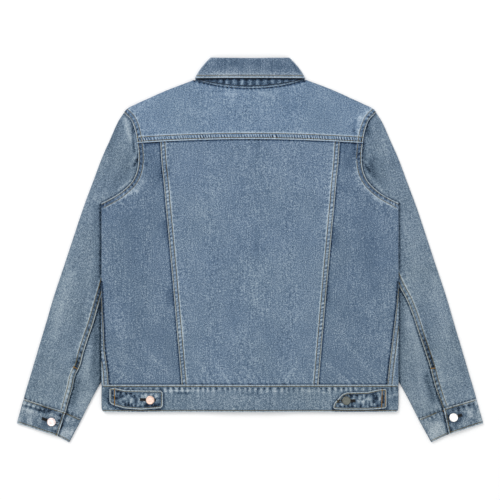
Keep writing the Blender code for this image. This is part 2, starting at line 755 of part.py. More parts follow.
def make_front(name, side, look):
    y = np.array(FRONT_LEVELS, float)
    on_shoulder = smooth((y - SHOULDER_START_Y) / SHOULDER_PASSAGE)
    in_armhole = smooth((y - ARMPIT_Y) / ARMPIT_PASSAGE) * (1 - on_shoulder)
    outline = blend(at_level(ARMHOLE, y), at_level(SHOULDER, y), on_shoulder)
    middle, radius, quarter = side_fold(outline, y, on_shoulder)
    stretch = blend(1.0, SHOULDER_STRETCH, on_shoulder)
    in_corner = smooth((CORNER_TOP_Y - y) / CORNER_PASSAGE) * smooth((y - CORNER_LOW_Y) / CORNER_PASSAGE)
    inset = FRONT_INSET * smooth((SHOULDER_Y - y) / FRONT_INSET_PASSAGE) + CORNER_INSET * in_corner
    extreme = blend(outline, at_level(ARMHOLE, y) - inset + stretch * radius, in_armhole)
    seam = side_seam_path(y, side)
    start = blend(seam - room_beside(seam), -quarter, in_armhole)
    start = blend(start, -SHOULDER_ROOM, on_shoulder)
    wanted = np.concatenate([start[:, None], quarter[:, None] * FRONT_TURNS], axis=1)
    turn = np.minimum(wanted, start[:, None] - LEAST_TURN * np.arange(wanted.shape[1]))
    angle = np.clip(turn / radius[:, None], -math.pi / 2, math.pi / 2)
    beyond = np.maximum(np.abs(turn) - quarter[:, None], 0)
    turn_x = extreme[:, None] - (stretch * radius)[:, None] * (1 - np.cos(angle)) - beyond
    neck = at_level(NECKLINE, y)
    inner_x = np.where(y < FRONT_NECK_Y, -FRONT_LAP, neck)[:, None]
    level = y[:, None]
    last = turn_x[:, -1:]
    sleeve = at_level(INNER_EDGE, level) - UNDER_SLEEVE
    centre = np.where(level < FRONT_NECK_Y, CENTRE_COLUMNS, inner_x + (last - inner_x) * NECK_PARTS)
    flat_x = falling([last, sleeve, (sleeve[:, -1:] + CENTRE_FALL) / 2, centre, inner_x], FRONT_STEP)
    x = np.concatenate([turn_x, flat_x[:, 1:]], axis=1)
    path = np.concatenate([turn, np.full_like(flat_x[:, 1:], FLAT_PATH)], axis=1)
    lap = (CLOTH + GAP) * fade(x, FRONT_LAP + 1, FRONT_LAP + 30) if side == RIGHT else 0.0
    angle = np.clip(path / radius[:, None], -math.pi / 2, math.pi / 2)
    turned = middle[:, None] + radius[:, None] * np.sin(angle)
    z = np.where(path > quarter[:, None], back_face(x, level), turned)
    z = np.where(path < -quarter[:, None] + 0.01, front_face(x, level) + lap, z)
    on_back = smooth((start - quarter) / 4)[:, None]
    rise = FELL_RISE * on_back * fade(start[:, None] - path, 2, FELL_WIDTH)
    add_cloth(name, grid_of(x, level, z), look, side, last_up=False, rise=rise)


def make_button_band(look):
    y = np.linspace(BAND_TOP_Y + GAP, FRONT_NECK_Y - 2, 15)[:, None]
    x = np.linspace(-FRONT_LAP, FRONT_LAP, 4)[None, :]
    add_cloth("front_button_band", grid_of(x, y, BAND_LIFT), look, last_up=False)


# Waistband and tabs


BAND_LEVELS = (-269.0, -273.0, -285.0, -298.0, -312.0, -317.0, -320.5, -323.0)
BAND_ANGLES = (-90, -55, -20, 20, 55, 90)
BAND_PARTS = (0.12, 0.3, 0.5, 0.64, 0.76, 0.86, 1.0)


def make_waistband(look):
    """One strip that starts at the left end, goes round the back and ends over its start."""
    y = np.array(BAND_LEVELS)[:, None]
    extreme = at_level(BAND_SIDE, y)
    upper = band_upper(extreme)
    lower = band_under(extreme)
    radius = (upper - lower) / 2
    middle = (upper + lower) / 2
    flat_end = extreme - radius
    angles = np.radians(BAND_ANGLES)
    side_x = flat_end + radius * np.cos(angles)
    side_z = middle + radius * np.sin(angles)
    under_x = flat_end - (flat_end + FRONT_LAP) * np.array(BAND_PARTS)
    under_z = band_under(under_x)
    lap_z = under_z + (DOUBLE_CLOTH + GAP) * fade(under_x, FRONT_LAP + 2, FRONT_LAP + 30)
    half_top = np.linspace(1, 0, 10)[None, 1:-1] * flat_end
    top_x = np.concatenate([-half_top, 0 * flat_end, half_top[:, ::-1]], axis=1)
    top_z = band_upper(top_x)
    x = np.concatenate([-under_x[:, ::-1], -side_x, top_x, side_x[:, ::-1], under_x], axis=1)
    z = np.concatenate([under_z[:, ::-1], side_z, top_z, side_z[:, ::-1], lap_z], axis=1)
    add_cloth("waistband", grid_of(x, y, z), look, last_up=False, thickness=DOUBLE_CLOTH)


def make_tab(name, side, look):
    table = TABS[side]
    x = np.array([level.x for level in table])
    top = np.array([level.top for level in table])
    hem = np.array([level.hem for level in table])
    part = np.linspace(0, 1, 4)[:, None]
    y = blend(hem, top, part)
    z = band_upper(x) + GAP + TAB_CLOTH
    add_cloth(name, grid_of(x, y, z), look, side, thickness=TAB_CLOTH)


# Collar


FOLD_ANGLES = (60, 30, 0, -30, -60)
ROLL_ANGLES = (0, 30, 60, 88)
ROLL_HALF_WIDTH = 80.0
FALL_PARTS = (0, 0.2, 0.4, 0.6, 0.8)
STAND_PARTS = (0, 0.25, 0.5, 0.75, 1.0)
STAND_MIDDLE = 2
LEAF_START = 0.04
LEAF_PASSAGE = 0.25


def collar_fold(side_points, front_ends, upper, lower):
    """Columns of points round the side fold of the collar, and where they leave it at each end."""
    radius = (upper - lower) / 2
    middle = (upper + lower) / 2
    to_back = np.array([[-1.0, 0.0]]) / FOLD_NORMAL[0]
    step = front_ends - side_points
    step = step / np.linalg.norm(step, axis=1, keepdims=True)
    to_front = step / -(step @ FOLD_NORMAL)[:, None]
    columns = []
    for angle in np.radians(FOLD_ANGLES):
        away = to_back if angle > 0 else to_front
        place = side_points + away * (radius * (1 - math.cos(angle)))[:, None]
        height = middle + radius * math.sin(angle)
        columns.append(np.concatenate([place, height[:, None]], axis=1))
    back = side_points + to_back * radius[:, None]
    front = side_points + to_front * radius[:, None]
    return np.stack(columns, axis=1), back, front


def collar_face(back, fold, leaf):
    """The whole face of a collar piece from the three parts of its right half."""
    half = np.concatenate([back, fold, leaf], axis=1)
    left = half[:, :0:-1] * np.array([-1, 1, 1])
    return np.concatenate([left, half], axis=1)


def make_fall(look):
    length = ROLL_Y - FALL_EDGE_Y
    angles = np.radians(ROLL_ANGLES)
    share = np.concatenate([FALL_PARTS, 1 - ROLL_RADIUS * (1 - np.sin(angles)) / length])
    drop = np.concatenate([np.zeros(len(FALL_PARTS)), ROLL_RADIUS * (1 - np.cos(angles))])
    side_y = FALL_EDGE_Y + length * share
    side_points = np.stack([at_level(COLLAR_SIDE, side_y), side_y], axis=1)
    upper = back_face(side_points[:, 0], side_points[:, 1]) + GAP + DOUBLE_CLOTH
    ends = blend(np.array(COLLAR_POINT), np.array(COLLAR_FRONT), share[:, None])
    fold, back, front = collar_fold(side_points, ends, upper - drop, 0 * upper)
    back_x = back[:, :1] * np.linspace(0, 1, 7)[None, :]
    dip = ROLL_DIP * (share**2)[:, None] * (1 - (back_x / ROLL_HALF_WIDTH) ** 2)
    back_y = side_y[:, None] - np.maximum(dip, 0)
    back_z = back_face(back_x, back_y) + GAP + DOUBLE_CLOTH - drop[:, None]
    leaf = blend(front[:, None, :], ends[:, None, :], np.linspace(0, 1, 6)[None, :, None])
    face = collar_face(grid_of(back_x, back_y, back_z), fold, grid_of(leaf[..., 0], leaf[..., 1], 0))
    add_cloth("collar_fall", face, look, last_up=False, thickness=DOUBLE_CLOTH)


def neckline_at(part):
    """A point just above the neckline of the fronts, from the shoulder to the centre."""
    rows = sorted(NECKLINE, reverse=True)
    length = np.concatenate([[0], np.cumsum([math.dist(a, b) for a, b in zip(rows, rows[1:])])])
    x = curve(length / length[-1], [row.x for row in rows], part) - 2 * GAP
    y = curve(length / length[-1], [row.y for row in rows], part) + GAP
    return np.stack([x, y], axis=1)


def make_stand(look):
    share = np.array(STAND_PARTS)
    side_points = blend(np.array(STAND_SIDE_LOW), np.array(STAND_SIDE_HIGH), share[:, None])
    upper = back_face(side_points[:, 0], side_points[:, 1])
    lower = front_face(side_points[:, 0], side_points[:, 1])
    part = np.linspace(LEAF_START, 1, 9)
    neckline = neckline_at(part)
    roll_line = blend(side_points[-1], np.array(STAND_FRONT), part[:, None])
    leaf = blend(neckline[None], roll_line[None], share[:, None, None])
    fold, back, front = collar_fold(side_points, leaf[:, STAND_MIDDLE], upper, lower)
    start = np.clip((part - LEAF_START) / LEAF_PASSAGE, 0, 1)[None, :, None]
    leaf = blend(front[:, None, :], leaf, start)
    back_x = back[:, :1] * np.linspace(0, 1, 7)[None, :]
    roll = STAND_ROLL_Y - ROLL_DIP * (1 - (back_x / ROLL_HALF_WIDTH) ** 2)
    back_y = blend(yoke_top(back_x) + GAP, roll, share[:, None])
    back_y = blend(back_y, back[:, 1:], (back_x / back[:, :1]) ** 8)
    back_z = back_face(back_x, back_y)
    leaf_z = front_face(leaf[..., 0], leaf[..., 1])
    face = collar_face(grid_of(back_x, back_y, back_z), fold, grid_of(leaf[..., 0], leaf[..., 1], leaf_z))
    add_cloth("collar_stand", face, look, last_up=False)


# Sleeves and cuffs


CORNER_START_Y = 206.0
UPPER_TUCKS = (9.0, 26.0)
UNDER_TUCKS = (13.0, 22.0)
ARMHOLE_PROBE = 2.0


def armhole_at(part, tuck):
    """A point on the sleeve's part of the armhole, 0 at the shoulder, tucked in below the body."""
    x = np.array([level.x for level in ARMHOLE])
    y = np.array([level.y for level in ARMHOLE])
    length = np.concatenate([[0], np.cumsum(np.hypot(np.diff(x), np.diff(y)))])
    last = np.interp(-SLEEVE_START_Y, -y, length)
    place = part * last
    here_x = curve(length, x, place)
    here_y = curve(length, y, place)
    after = place + ARMHOLE_PROBE
    before = np.maximum(place, ARMHOLE_PROBE) - ARMHOLE_PROBE
    step_x = curve(length, x, after) - curve(length, x, before)
    step_y = curve(length, y, after) - curve(length, y, before)
    step = np.hypot(step_x, step_y)
    inset = tuck(here_y)
    return np.stack([here_x + inset * step_y / step, here_y - inset * step_x / step], axis=-1)


def corner_tuck(y):
    """How the armhole end of a sleeve turns in towards the hidden corner of its inner fold."""
    return np.clip((CORNER_START_Y - y) / (CORNER_START_Y - SLEEVE_START_Y), 0, 1) ** 2


def upper_tuck(y):
    """How far the top of a sleeve runs in under the edge of the back."""
    return -1.0 + UPPER_TUCKS[0] * smooth((266 - y) / 14) + UPPER_TUCKS[1] * corner_tuck(y)


def under_tuck(y):
    """How far the underside of a sleeve runs in under the edge of a front."""
    return -1.0 + UNDER_TUCKS[0] * smooth((262 - y) / 18) + UNDER_TUCKS[1] * corner_tuck(y)


def section_point(column, row):
    """A point of every sleeve section, at whole or part rows of the table."""
    rows = np.arange(len(SLEEVE))
    x = curve(rows, [getattr(section, column + "_x") for section in SLEEVE], row)
    y = curve(rows, [getattr(section, column + "_y") for section in SLEEVE], row)
    return np.stack([x, y], axis=-1)


def sleeve_plan(row, part, tuck):
    """Across a sleeve from the outer fold to the inner one, starting from the armhole's curve."""
    straight = blend(section_point("outer", row), section_point("inner", row), part[..., None])
    chord = blend(section_point("outer", 0.0), section_point("inner", 0.0), part[..., None])
    weight = np.clip(1 - row / ARMHOLE_SECTIONS, 0, 1)[..., None]
    return straight + weight * (armhole_at(part, tuck) - chord)


def section_length(row):
    return np.linalg.norm(section_point("inner", row) - section_point("outer", row), axis=-1)


def length_round(row):
    """Length of the path over the top of a sleeve, from the outer fold to the inner one."""
    return section_length(row) - 2 * SLEEVE_RADIUS + math.pi * SLEEVE_RADIUS


def elbow_share(row, side):
    """Where the elbow seam crosses the sections: 0 at the outer fold, 1 at the inner one."""
    part = np.linspace(0.3, 1.0, 141)[None, :]
    place = sleeve_plan(row[:, None], part + 0 * row[:, None], upper_tuck)
    beyond = at_level(ELBOW[side], place[..., 1]) - place[..., 0]
    shares = []
    for values in beyond:
        crossed = np.flatnonzero(values > 0)
        if len(crossed) == 0 or crossed[0] == 0:
            shares.append(ELBOW_BELOW)
            continue
        after = crossed[0]
        rest = values[after] / (values[after] - values[after - 1])
        shares.append(part[0, after] - rest * (part[0, 1] - part[0, 0]))
    return np.array(shares)


def sleeve_ring(row, path, side):
    """Points round a sleeve: the path is 0 at the outer fold, grows over the top to the inner
    fold and on below, and is negative below the outer fold."""
    length = section_length(row)
    around = length_round(row)
    radius = SLEEVE_RADIUS
    quarter = radius * math.pi / 2
    place = np.mod(path, 2 * around)
    on_top = place <= around
    from_outer = np.where(on_top, place, 2 * around - place)
    from_inner = around - from_outer
    outer_reach = radius * (1 - np.cos(np.minimum(from_outer, quarter) / radius))
    inner_reach = length - radius * (1 - np.cos(np.minimum(from_inner, quarter) / radius))
    reach = np.where(from_outer < quarter, outer_reach, from_outer - quarter + radius)
    reach = np.where(from_inner < quarter, inner_reach, reach)
    from_fold = np.minimum(from_outer, from_inner)
    turned = radius * np.sin(np.minimum(from_fold, quarter) / radius)
    part = reach / length
    upper = sleeve_plan(row, part, upper_tuck)
    plan = np.where(on_top[..., None], upper, sleeve_plan(row, part, under_tuck))
    top = np.where(from_fold < quarter, radius + turned, sleeve_face(plan[..., 0], plan[..., 1], side))
    z = np.where(on_top, top, radius - turned)
    return np.concatenate([plan, z[..., None]], axis=-1)


SLEEVE_ROWS = (0, 0.3, 0.8, 1.5, 2.3, 3.1, 4, 5, 6, 7, 8, 9, 10, 10.6, 11.2, 12, 12.7, 13.4, 14)
SLEEVE_TURNS = np.array([1.0, 0.5, 0.0, -0.5, -1.0])
ELBOW_FELL = (0, 5, 7.5, FELL_WIDTH, FELL_WIDTH + FELL_SLOPE, 15)
BOW_ROW = 12
FELL_ROW = 6
FELL_START = 5.0
FELL_PASSAGE = 6.0


def make_upper_sleeve(name, side, look):
    row = np.array(SLEEVE_ROWS, float)
    around = length_round(row)
    share = elbow_share(row, side)
    quarter = SLEEVE_RADIUS * math.pi / 2
    start = share * around - HALF_GAP
    on_top = start[:, None] - spread(start - quarter - 1, ELBOW_FELL, (0,), 4)
    turn = np.broadcast_to(quarter * SLEEVE_TURNS, (len(row), len(SLEEVE_TURNS)))
    below = -blend(quarter, FRONT_SEAM_SHARE * around[:, None] - HALF_GAP, np.linspace(0, 1, 5)[1:])
    path = np.concatenate([on_top, turn, below], axis=1)
    face = sleeve_ring(row[:, None] + 0 * path, path, side)
    bow = CUFF_SEAM_BOW[side] * smooth((row - BOW_ROW) / 2)[:, None]
    face[..., 1] += bow * np.clip(path / start[:, None], 0, 1)
    strip = fade(start[:, None] - path, FELL_WIDTH, FELL_WIDTH + FELL_SLOPE)
    from_body = beside_body(face[..., 0], face[..., 1])
    strip = strip * smooth((from_body - FELL_START) / FELL_PASSAGE) * smooth(row - FELL_ROW)[:, None]
    add_cloth(name, face, look, side, last_up=False, rise=FELL_RISE * strip)


def make_under_sleeve(name, side, look):
    row = np.array(SLEEVE_ROWS, float)
    around = length_round(row)
    share = elbow_share(row, side)
    quarter = SLEEVE_RADIUS * math.pi / 2
    start = share * around + HALF_GAP
    on_top = blend(start[:, None], (around - quarter)[:, None], np.linspace(0, 1, 5))
    turn = around[:, None] - quarter * SLEEVE_TURNS[1:]
    end = (2 - FRONT_SEAM_SHARE) * around - HALF_GAP
    below = blend((around + quarter)[:, None], end[:, None], np.linspace(0, 1, 4)[1:])
    path = np.concatenate([on_top, turn, below], axis=1)
    for column in range(1, path.shape[1]):
        path[:, column] = np.maximum(path[:, column], path[:, column - 1] + LEAST_TURN)
    face = sleeve_ring(row[:, None] + 0 * path, path, side)
    add_cloth(name, face, look, side, last_up=False)


CUFF_PARTS = (0, 0.1, 0.5, 0.9, 1.0)
FLAP_COLUMNS = (0, 12, 27, 36, 48, 60)
LAP_NEAR = 5.0
LAP_FAR = 62.0


def cuff_leg(start, end, distances, height):
    """Points from one line across the cuff towards another, at distances from the first."""
    step = end - start
    length = np.linalg.norm(step, axis=-1, keepdims=True)
    place = start[:, None, :] + step[:, None, :] / length[:, None, :] * distances[..., None]
    return np.concatenate([place, np.broadcast_to(height, distances.shape)[..., None]], axis=-1)


def make_cuff(name, side, look):
    """One strip: the flap on the top, round the outer fold, below, and up again under the flap."""
    cuff = CUFFS[side]
    down = np.array(CUFF_PARTS)[:, None]
    outer = blend(np.array(cuff.outer_top), np.array(cuff.outer_hem), down)
    flap = blend(np.array(cuff.flap_top), np.array(cuff.flap_hem), down)
    inner = blend(np.array(cuff.inner_top), np.array(cuff.inner_hem), down)
    seam_part = (cuff.outer_top.x - cuff.flap_top.x) / (cuff.outer_top.x - cuff.inner_top.x)
    below_top = blend(np.array(cuff.outer_top), np.array(cuff.inner_top), seam_part)
    below = blend(below_top, np.array(cuff.flap_hem), down)
    flap_length = np.linalg.norm(flap - outer, axis=1)
    below_length = np.linalg.norm(below - outer, axis=1)
    inner_length = np.linalg.norm(below - inner, axis=1)
    radius = CUFF_TOP / 2
    angles = np.radians(FOLD_ANGLES)
    turn_in = np.broadcast_to(radius * (1 - np.cos(angles)), (len(down), len(angles)))
    turn_up = radius + radius * np.sin(angles)
    top_distance = spread(flap_length - radius, FLAP_COLUMNS, (0,), 1)
    flap_height = CUFF_TOP + CUFF_LAP_RISE * fade(top_distance, CUFF_LAP + LAP_NEAR, LAP_FAR)
    lap_distance = radius + spread(inner_length + CUFF_LAP - radius, (0,), (CUFF_LAP, 0), 2)
    legs = [
        cuff_leg(outer, flap, flap_length[:, None] - top_distance, flap_height),
        cuff_leg(outer, flap, turn_in, turn_up),
        cuff_leg(outer, below, radius + (below_length[:, None] - radius) * np.linspace(0, 1, 4), 0.0),
        cuff_leg(inner, below, radius + (inner_length[:, None] - radius) * np.array([0.6, 0.3, 0]), 0.0),
        cuff_leg(inner, below, turn_in, turn_up[::-1]),
        cuff_leg(inner, below, lap_distance, CUFF_TOP),
    ]
    face = np.concatenate(legs, axis=1)
    add_cloth(name, face, look, side, thickness=DOUBLE_CLOTH)


# Buttons


def make_button(name, place, base, look, upward=1):
    """A turned cap with a raised rim and a shallow dish."""
    points = [(place[0], place[1], base + upward * CAP_PROFILE[0].height)]
    for ring in CAP_PROFILE:
        for step in range(CAP_SIDES):
            angle = 2 * math.pi * step / CAP_SIDES
            x = place[0] + ring.radius * math.cos(angle)
            y = place[1] + ring.radius * math.sin(angle)
            points.append((x, y, base + upward * ring.height))
    points.append((place[0], place[1], base))
    last = len(points) - 1
    faces = []
    for step in range(CAP_SIDES):
        after = (step + 1) % CAP_SIDES
        faces.append((0, 1 + step, 1 + after))
        for ring in range(len(CAP_PROFILE) - 1):
            low = 1 + ring * CAP_SIDES
            high = low + CAP_SIDES
            faces.append((low + step, high + step, high + after, low + after))
        base_ring = 1 + (len(CAP_PROFILE) - 1) * CAP_SIDES
        faces.append((base_ring + step, last, base_ring + after))
    add_mesh(name, points, faces, look, smooth_angle=30)


def make_buttons(white_metal, rose_metal, dark_metal, steel_metal):
    cuff_looks = {LEFT: rose_metal, RIGHT: white_metal}
    tab_looks = {LEFT: rose_metal, RIGHT: dark_metal}
    for name, side in SIDES.items():
        cuff = CUFF_BUTTONS[side]
        base = CUFF_TOP + CUFF_LAP_RISE + GAP
        make_button("cuff_button_" + name, (side * cuff.x, cuff.y), base, cuff_looks[side])
        tab = TAB_BUTTONS[side]
        base = float(band_upper(tab.x)) + GAP + TAB_CLOTH + GAP
        make_button("tab_button_" + name, (side * tab.x, tab.y), base, tab_looks[side])
    step = (FRONT_BUTTON_BAND_Y - FRONT_BUTTON_TOP_Y) / (FRONT_BUTTONS - 1)
    for number in range(FRONT_BUTTONS):
        y = FRONT_BUTTON_TOP_Y + step * number
        make_button(f"front_button_{number + 1}", (0.0, y), CAP_HEIGHT, steel_metal, upward=-1)


def main():
    for old in list(bpy.data.objects):
        bpy.data.objects.remove(old, do_unlink=True)
    body = new_look("washed_denim", (0.147, 0.208, 0.292))
    sleeve = new_look("washed_denim_sleeve", (0.184, 0.246, 0.323))
    trim = new_look("washed_denim_trim", (0.162, 0.219, 0.287))
    shaded = new_look("washed_denim_stand", (0.100, 0.150, 0.220))
    make_yoke(body)
    make_centre_panel(body)
    for name, side in SIDES.items():
        make_side_panel("back_side_panel_" + name, side, body)
        make_front("front_" + name, side, body)
        make_upper_sleeve("sleeve_upper_" + name, side, sleeve)
        make_under_sleeve("sleeve_under_" + name, side, sleeve)
        make_cuff("cuff_" + name, side, trim)
        make_tab("side_tab_" + name, side, trim)
    make_button_band(trim)
    make_waistband(trim)
    make_stand(shaded)
    make_fall(trim)
    make_buttons(
        white_metal=new_look("nickel_plate", (0.80, 0.78, 0.76), 0.3, 1.0),
        rose_metal=new_look("copper_plate", (0.75, 0.58, 0.52), 0.3, 1.0),
        dark_metal=new_look("gunmetal_plate", (0.16, 0.17, 0.18), 0.35, 1.0),
        steel_metal=new_look("steel_plate", (0.55, 0.54, 0.52), 0.35, 1.0),
    )


main()
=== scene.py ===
"""Looks of a washed denim jacket that lies flat on its front, with its back up.

Each cloth piece of the frame is replaced by a finer shell on the same form, with the puckers of
its seams, its creases and its thread. Lengths are in millimetres until a mesh is made. Shapes are
worked out for the wearer's right (+X) and turned over for the left, and the collar points to +Y.
"""

import json
import math
from collections import namedtuple

import bmesh
import bpy
import numpy as np
from bpy.props import FloatProperty, FloatVectorProperty, PointerProperty
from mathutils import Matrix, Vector

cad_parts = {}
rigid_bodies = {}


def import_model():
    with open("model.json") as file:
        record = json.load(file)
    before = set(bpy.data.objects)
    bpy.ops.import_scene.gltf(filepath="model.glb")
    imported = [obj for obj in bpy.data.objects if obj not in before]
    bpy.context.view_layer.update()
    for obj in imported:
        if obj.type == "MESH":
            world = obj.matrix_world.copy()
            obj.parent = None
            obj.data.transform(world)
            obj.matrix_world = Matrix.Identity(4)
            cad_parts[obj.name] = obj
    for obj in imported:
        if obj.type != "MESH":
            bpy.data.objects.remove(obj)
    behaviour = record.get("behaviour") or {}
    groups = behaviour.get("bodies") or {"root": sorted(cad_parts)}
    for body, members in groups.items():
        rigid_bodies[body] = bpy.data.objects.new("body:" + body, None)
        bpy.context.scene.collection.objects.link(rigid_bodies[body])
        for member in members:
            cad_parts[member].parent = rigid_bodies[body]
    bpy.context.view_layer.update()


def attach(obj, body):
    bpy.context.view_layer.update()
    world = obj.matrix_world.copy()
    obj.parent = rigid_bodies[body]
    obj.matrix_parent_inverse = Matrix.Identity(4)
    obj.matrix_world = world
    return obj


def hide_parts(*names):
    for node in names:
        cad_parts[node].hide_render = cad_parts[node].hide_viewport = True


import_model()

bl_info = {
    "name": "Washed Denim Jacket",
    "version": (1, 0, 0),
    "blender": (4, 5, 0),
    "location": "View3D > Sidebar > Denim Jacket",
    "description": "Makes the cloth, thread and buttons of a denim jacket that lies flat",
    "category": "Object",
}

MM = 0.001
RIGHT = 1
LEFT = -1
SIDES = {LEFT: "left", RIGHT: "right"}
ROOT = "root"

# Cloth, seams and the room between layers
CLOTH = 1.4
DOUBLE_CLOTH = 2.2
TAB_CLOTH = 2.0
GAP = 0.3
HALF_GAP = GAP / 2
FELL_WIDTH = 9.5
FELL_RISE = 0.8
INNER_SKIP = 4

# Levels and widths of the body
HALF_WIDTH = 296.5
BAND_TOP_Y = -269.0
HEM_Y = -323.0
ARMPIT_Y = 93.0
SHOULDER_Y = 274.4
NECK_Y = 323.0
NECK_RISE = 16.0
NECK_HALF_WIDTH = 112.0
YOKE_CENTRE_Y = 221.4
YOKE_DROP = 7.8
YOKE_HALF_WIDTH = 225.2
YOKE_STRIP = 11.5
PANEL_CORNER_X = 170.0
SIDE_CORNER_X = 178.0
FRONT_LAP = 20.0
FRONT_NECK_Y = 250.0
SHOULDER_STRETCH = 2.36

# Heights of the layers over the floor
SLEEVE_TOP = 5.0
SLEEVE_CROWN = 1.6
CROWN_END_Y = -285.0
CROWN_REACH = 35.0
BACK_TOP = 6.7
BAND_TOP = 7.3
CENTRE_LIFT = 4.6
BAND_LIFT = 2.9
SLEEVE_LIFT = SLEEVE_TOP + 1.6 * GAP
SEAM_LIFT = CLOTH + GAP
COLLAR_LIFT = DOUBLE_CLOTH + GAP
BACK_OVER_CENTRE = 2.9
BAND_OVER_CENTRE = 2.8
BACK_OVER_SLEEVE = 2.5
BACK_OVER_COLLAR = 0.6
CENTRE_FLAT = 24.0
CENTRE_FALL = 108.0
SLEEVE_RADIUS = SLEEVE_TOP / 2
SLEEVE_QUARTER = SLEEVE_RADIUS * math.pi / 2
ROLL_RADIUS = 2.6

# The collar
FALL_EDGE_Y = 343.0
ROLL_Y = 384.0
ROLL_DIP = 1.2
STAND_ROLL_Y = 380.5
FOLD_NORMAL = np.array([0.798, 0.603])

# Cuffs and their laps
CUFF_TOP = 5.0
CUFF_LAP = 22.0
CUFF_LAP_RISE = DOUBLE_CLOTH + GAP

Point = namedtuple("Point", "x y")
Level = namedtuple("Level", "y x")
Section = namedtuple("Section", "outer_x outer_y inner_x inner_y")
Cuff = namedtuple("Cuff", "outer_top outer_hem flap_top flap_hem inner_top inner_hem")
Fold = namedtuple("Fold", "x0 y0 x1 y1 width rise")
Crease = namedtuple("Crease", "x0 y0 x1 y1 width rise worn")
TabLevel = namedtuple("TabLevel", "x top hem")
Ring = namedtuple("Ring", "radius height")
Tack = namedtuple("Tack", "cloth x y angle length width")
Slot = namedtuple("Slot", "cloth x y angle length")


def rows_of(kind, *rows):
    """A table of one kind of row, each written as the kind's values in their order."""
    return tuple(kind(*row) for row in rows)


# Outlines, as the level and the half width there
ARMHOLE = rows_of(
    Level,
    (274.4, 251.6), (261.4, 238.6), (245.4, 231.4), (228.4, 227), (215, 225.2), (200, 223.4),
    (184, 222.4), (168, 223.4), (153, 227), (137, 235), (123, 248), (110, 265), (100, 283), (93, 296.5),
)
SHOULDER = rows_of(
    Level,
    (339, 113.5), (327, 146), (315, 176), (303, 202), (291, 228), (279, 248), (274.4, 251.6),
)
NECKLINE = rows_of(
    Level,
    (250, 20), (255, 38), (265, 60), (280, 80), (300, 96), (320, 106), (339, 112),
)
PRINCESS = rows_of(
    Level,
    (222, 174.5), (176, 171.6), (134, 167.2), (92, 163.6), (50, 159.6), (-5, 154.6), (-269, 131.6),
)
SIDE_SEAM = {
    LEFT: rows_of(
        Level,
        (-60, 296.5), (-90, 295), (-148, 292), (-206, 289), (-239, 284), (-269, 282),
    ),
    RIGHT: rows_of(
        Level,
        (-55, 296.5), (-73, 295), (-115, 291.6), (-156, 286.6), (-198, 281.6), (-231, 277.4), (-269, 274),
    ),
}
SIDE_SEAM_TOP_Y = -64.0
BAND_SIDE = rows_of(
    Level,
    (-269, 296.5), (-312, 296.5), (-317, 296.2), (-320.5, 295), (-323, 292.5),
)
COLLAR_SIDE = rows_of(
    Level,
    (343, 110), (351, 106), (363, 98), (375, 88), (384, 79),
)
COLLAR_POINT = Point(x=84.0, y=260.0)
COLLAR_FRONT = Point(x=16.0, y=288.0)
STAND_FRONT = Point(x=18.0, y=288.0)
STAND_SIDE_LOW = Point(x=109.5, y=338.8)
STAND_SIDE_HIGH = Point(x=75.5, y=380.5)

# Sleeve sections from the armhole to the cuff: the outer fold and the inner one, below the body
SLEEVE = rows_of(
    Section,
    (251.6, 274.4, 188, 182), (264, 255, 195, 164), (280, 219, 203, 140), (296, 183, 210, 112),
    (314, 135, 215.5, 77), (332, 87, 219.5, 32), (350.5, 32, 222, -15), (371, -30, 222.5, -62),
    (392, -93, 227, -108), (406, -141, 237, -150), (424, -201, 258, -200), (437, -245, 284, -242),
    (444.5, -270, 302, -271.5), (449.5, -287, 317.5, -300), (452, -296.5, 336, -336.5),
)
SLEEVE_START_Y = SLEEVE[0].inner_y
SLEEVE_GRAIN = math.radians(18)
ELBOW = {
    LEFT: rows_of(
        Level,
        (-326, 368.5), (-299, 361.5), (-277, 355), (-247, 347.5), (-237, 342), (-203, 332), (-178, 324),
        (-149, 314), (-118, 305), (-90, 297), (-46, 284), (0, 268), (40, 250), (75, 230), (105, 204),
    ),
    RIGHT: rows_of(
        Level,
        (-320, 387), (-300, 379), (-259, 366), (-236, 360), (-199, 348), (-164, 336), (-133, 326),
        (-100, 313), (-70, 297), (-30, 281), (10, 264), (45, 247), (78, 228), (105, 204),
    ),
}
ELBOW_TOP_Y = 60.0
ELBOW_BELOW = 1.08
FRONT_SEAM_SHARE = 0.66
ARMHOLE_SECTIONS = 7.0
CUFF_SEAM_BOW = {LEFT: 3.2, RIGHT: 3.9}

CUFF_LEFT = Cuff(
    outer_top=Point(452.3, -297.3),
    outer_hem=Point(466.0, -346.0),
    flap_top=Point(368.2, -323.0),
    flap_hem=Point(384.0, -371.5),
    inner_top=Point(336.3, -337.5),
    inner_hem=Point(361.0, -384.0),
)
CUFF_RIGHT = CUFF_LEFT._replace(
    flap_top=Point(386.2, -316.0), flap_hem=Point(397.0, -367.5), inner_hem=Point(362.0, -384.0)
)
CUFFS = {LEFT: CUFF_LEFT, RIGHT: CUFF_RIGHT}
TABS = {
    LEFT: rows_of(
        TabLevel,
        (280, -277, -303), (276, -275.5, -307), (266, -276, -311), (250, -279.5, -315.5),
        (218, -280, -318), (178, -280.5, -315), (174, -284, -311),
    ),
    RIGHT: rows_of(
        TabLevel,
        (272, -279, -313), (269, -277, -315.5), (254, -278.5, -317), (235, -283, -318), (193, -284, -318),
        (184, -287.5, -318), (176, -296.5, -317.5), (169, -304, -317), (166.5, -310, -315),
    ),
}

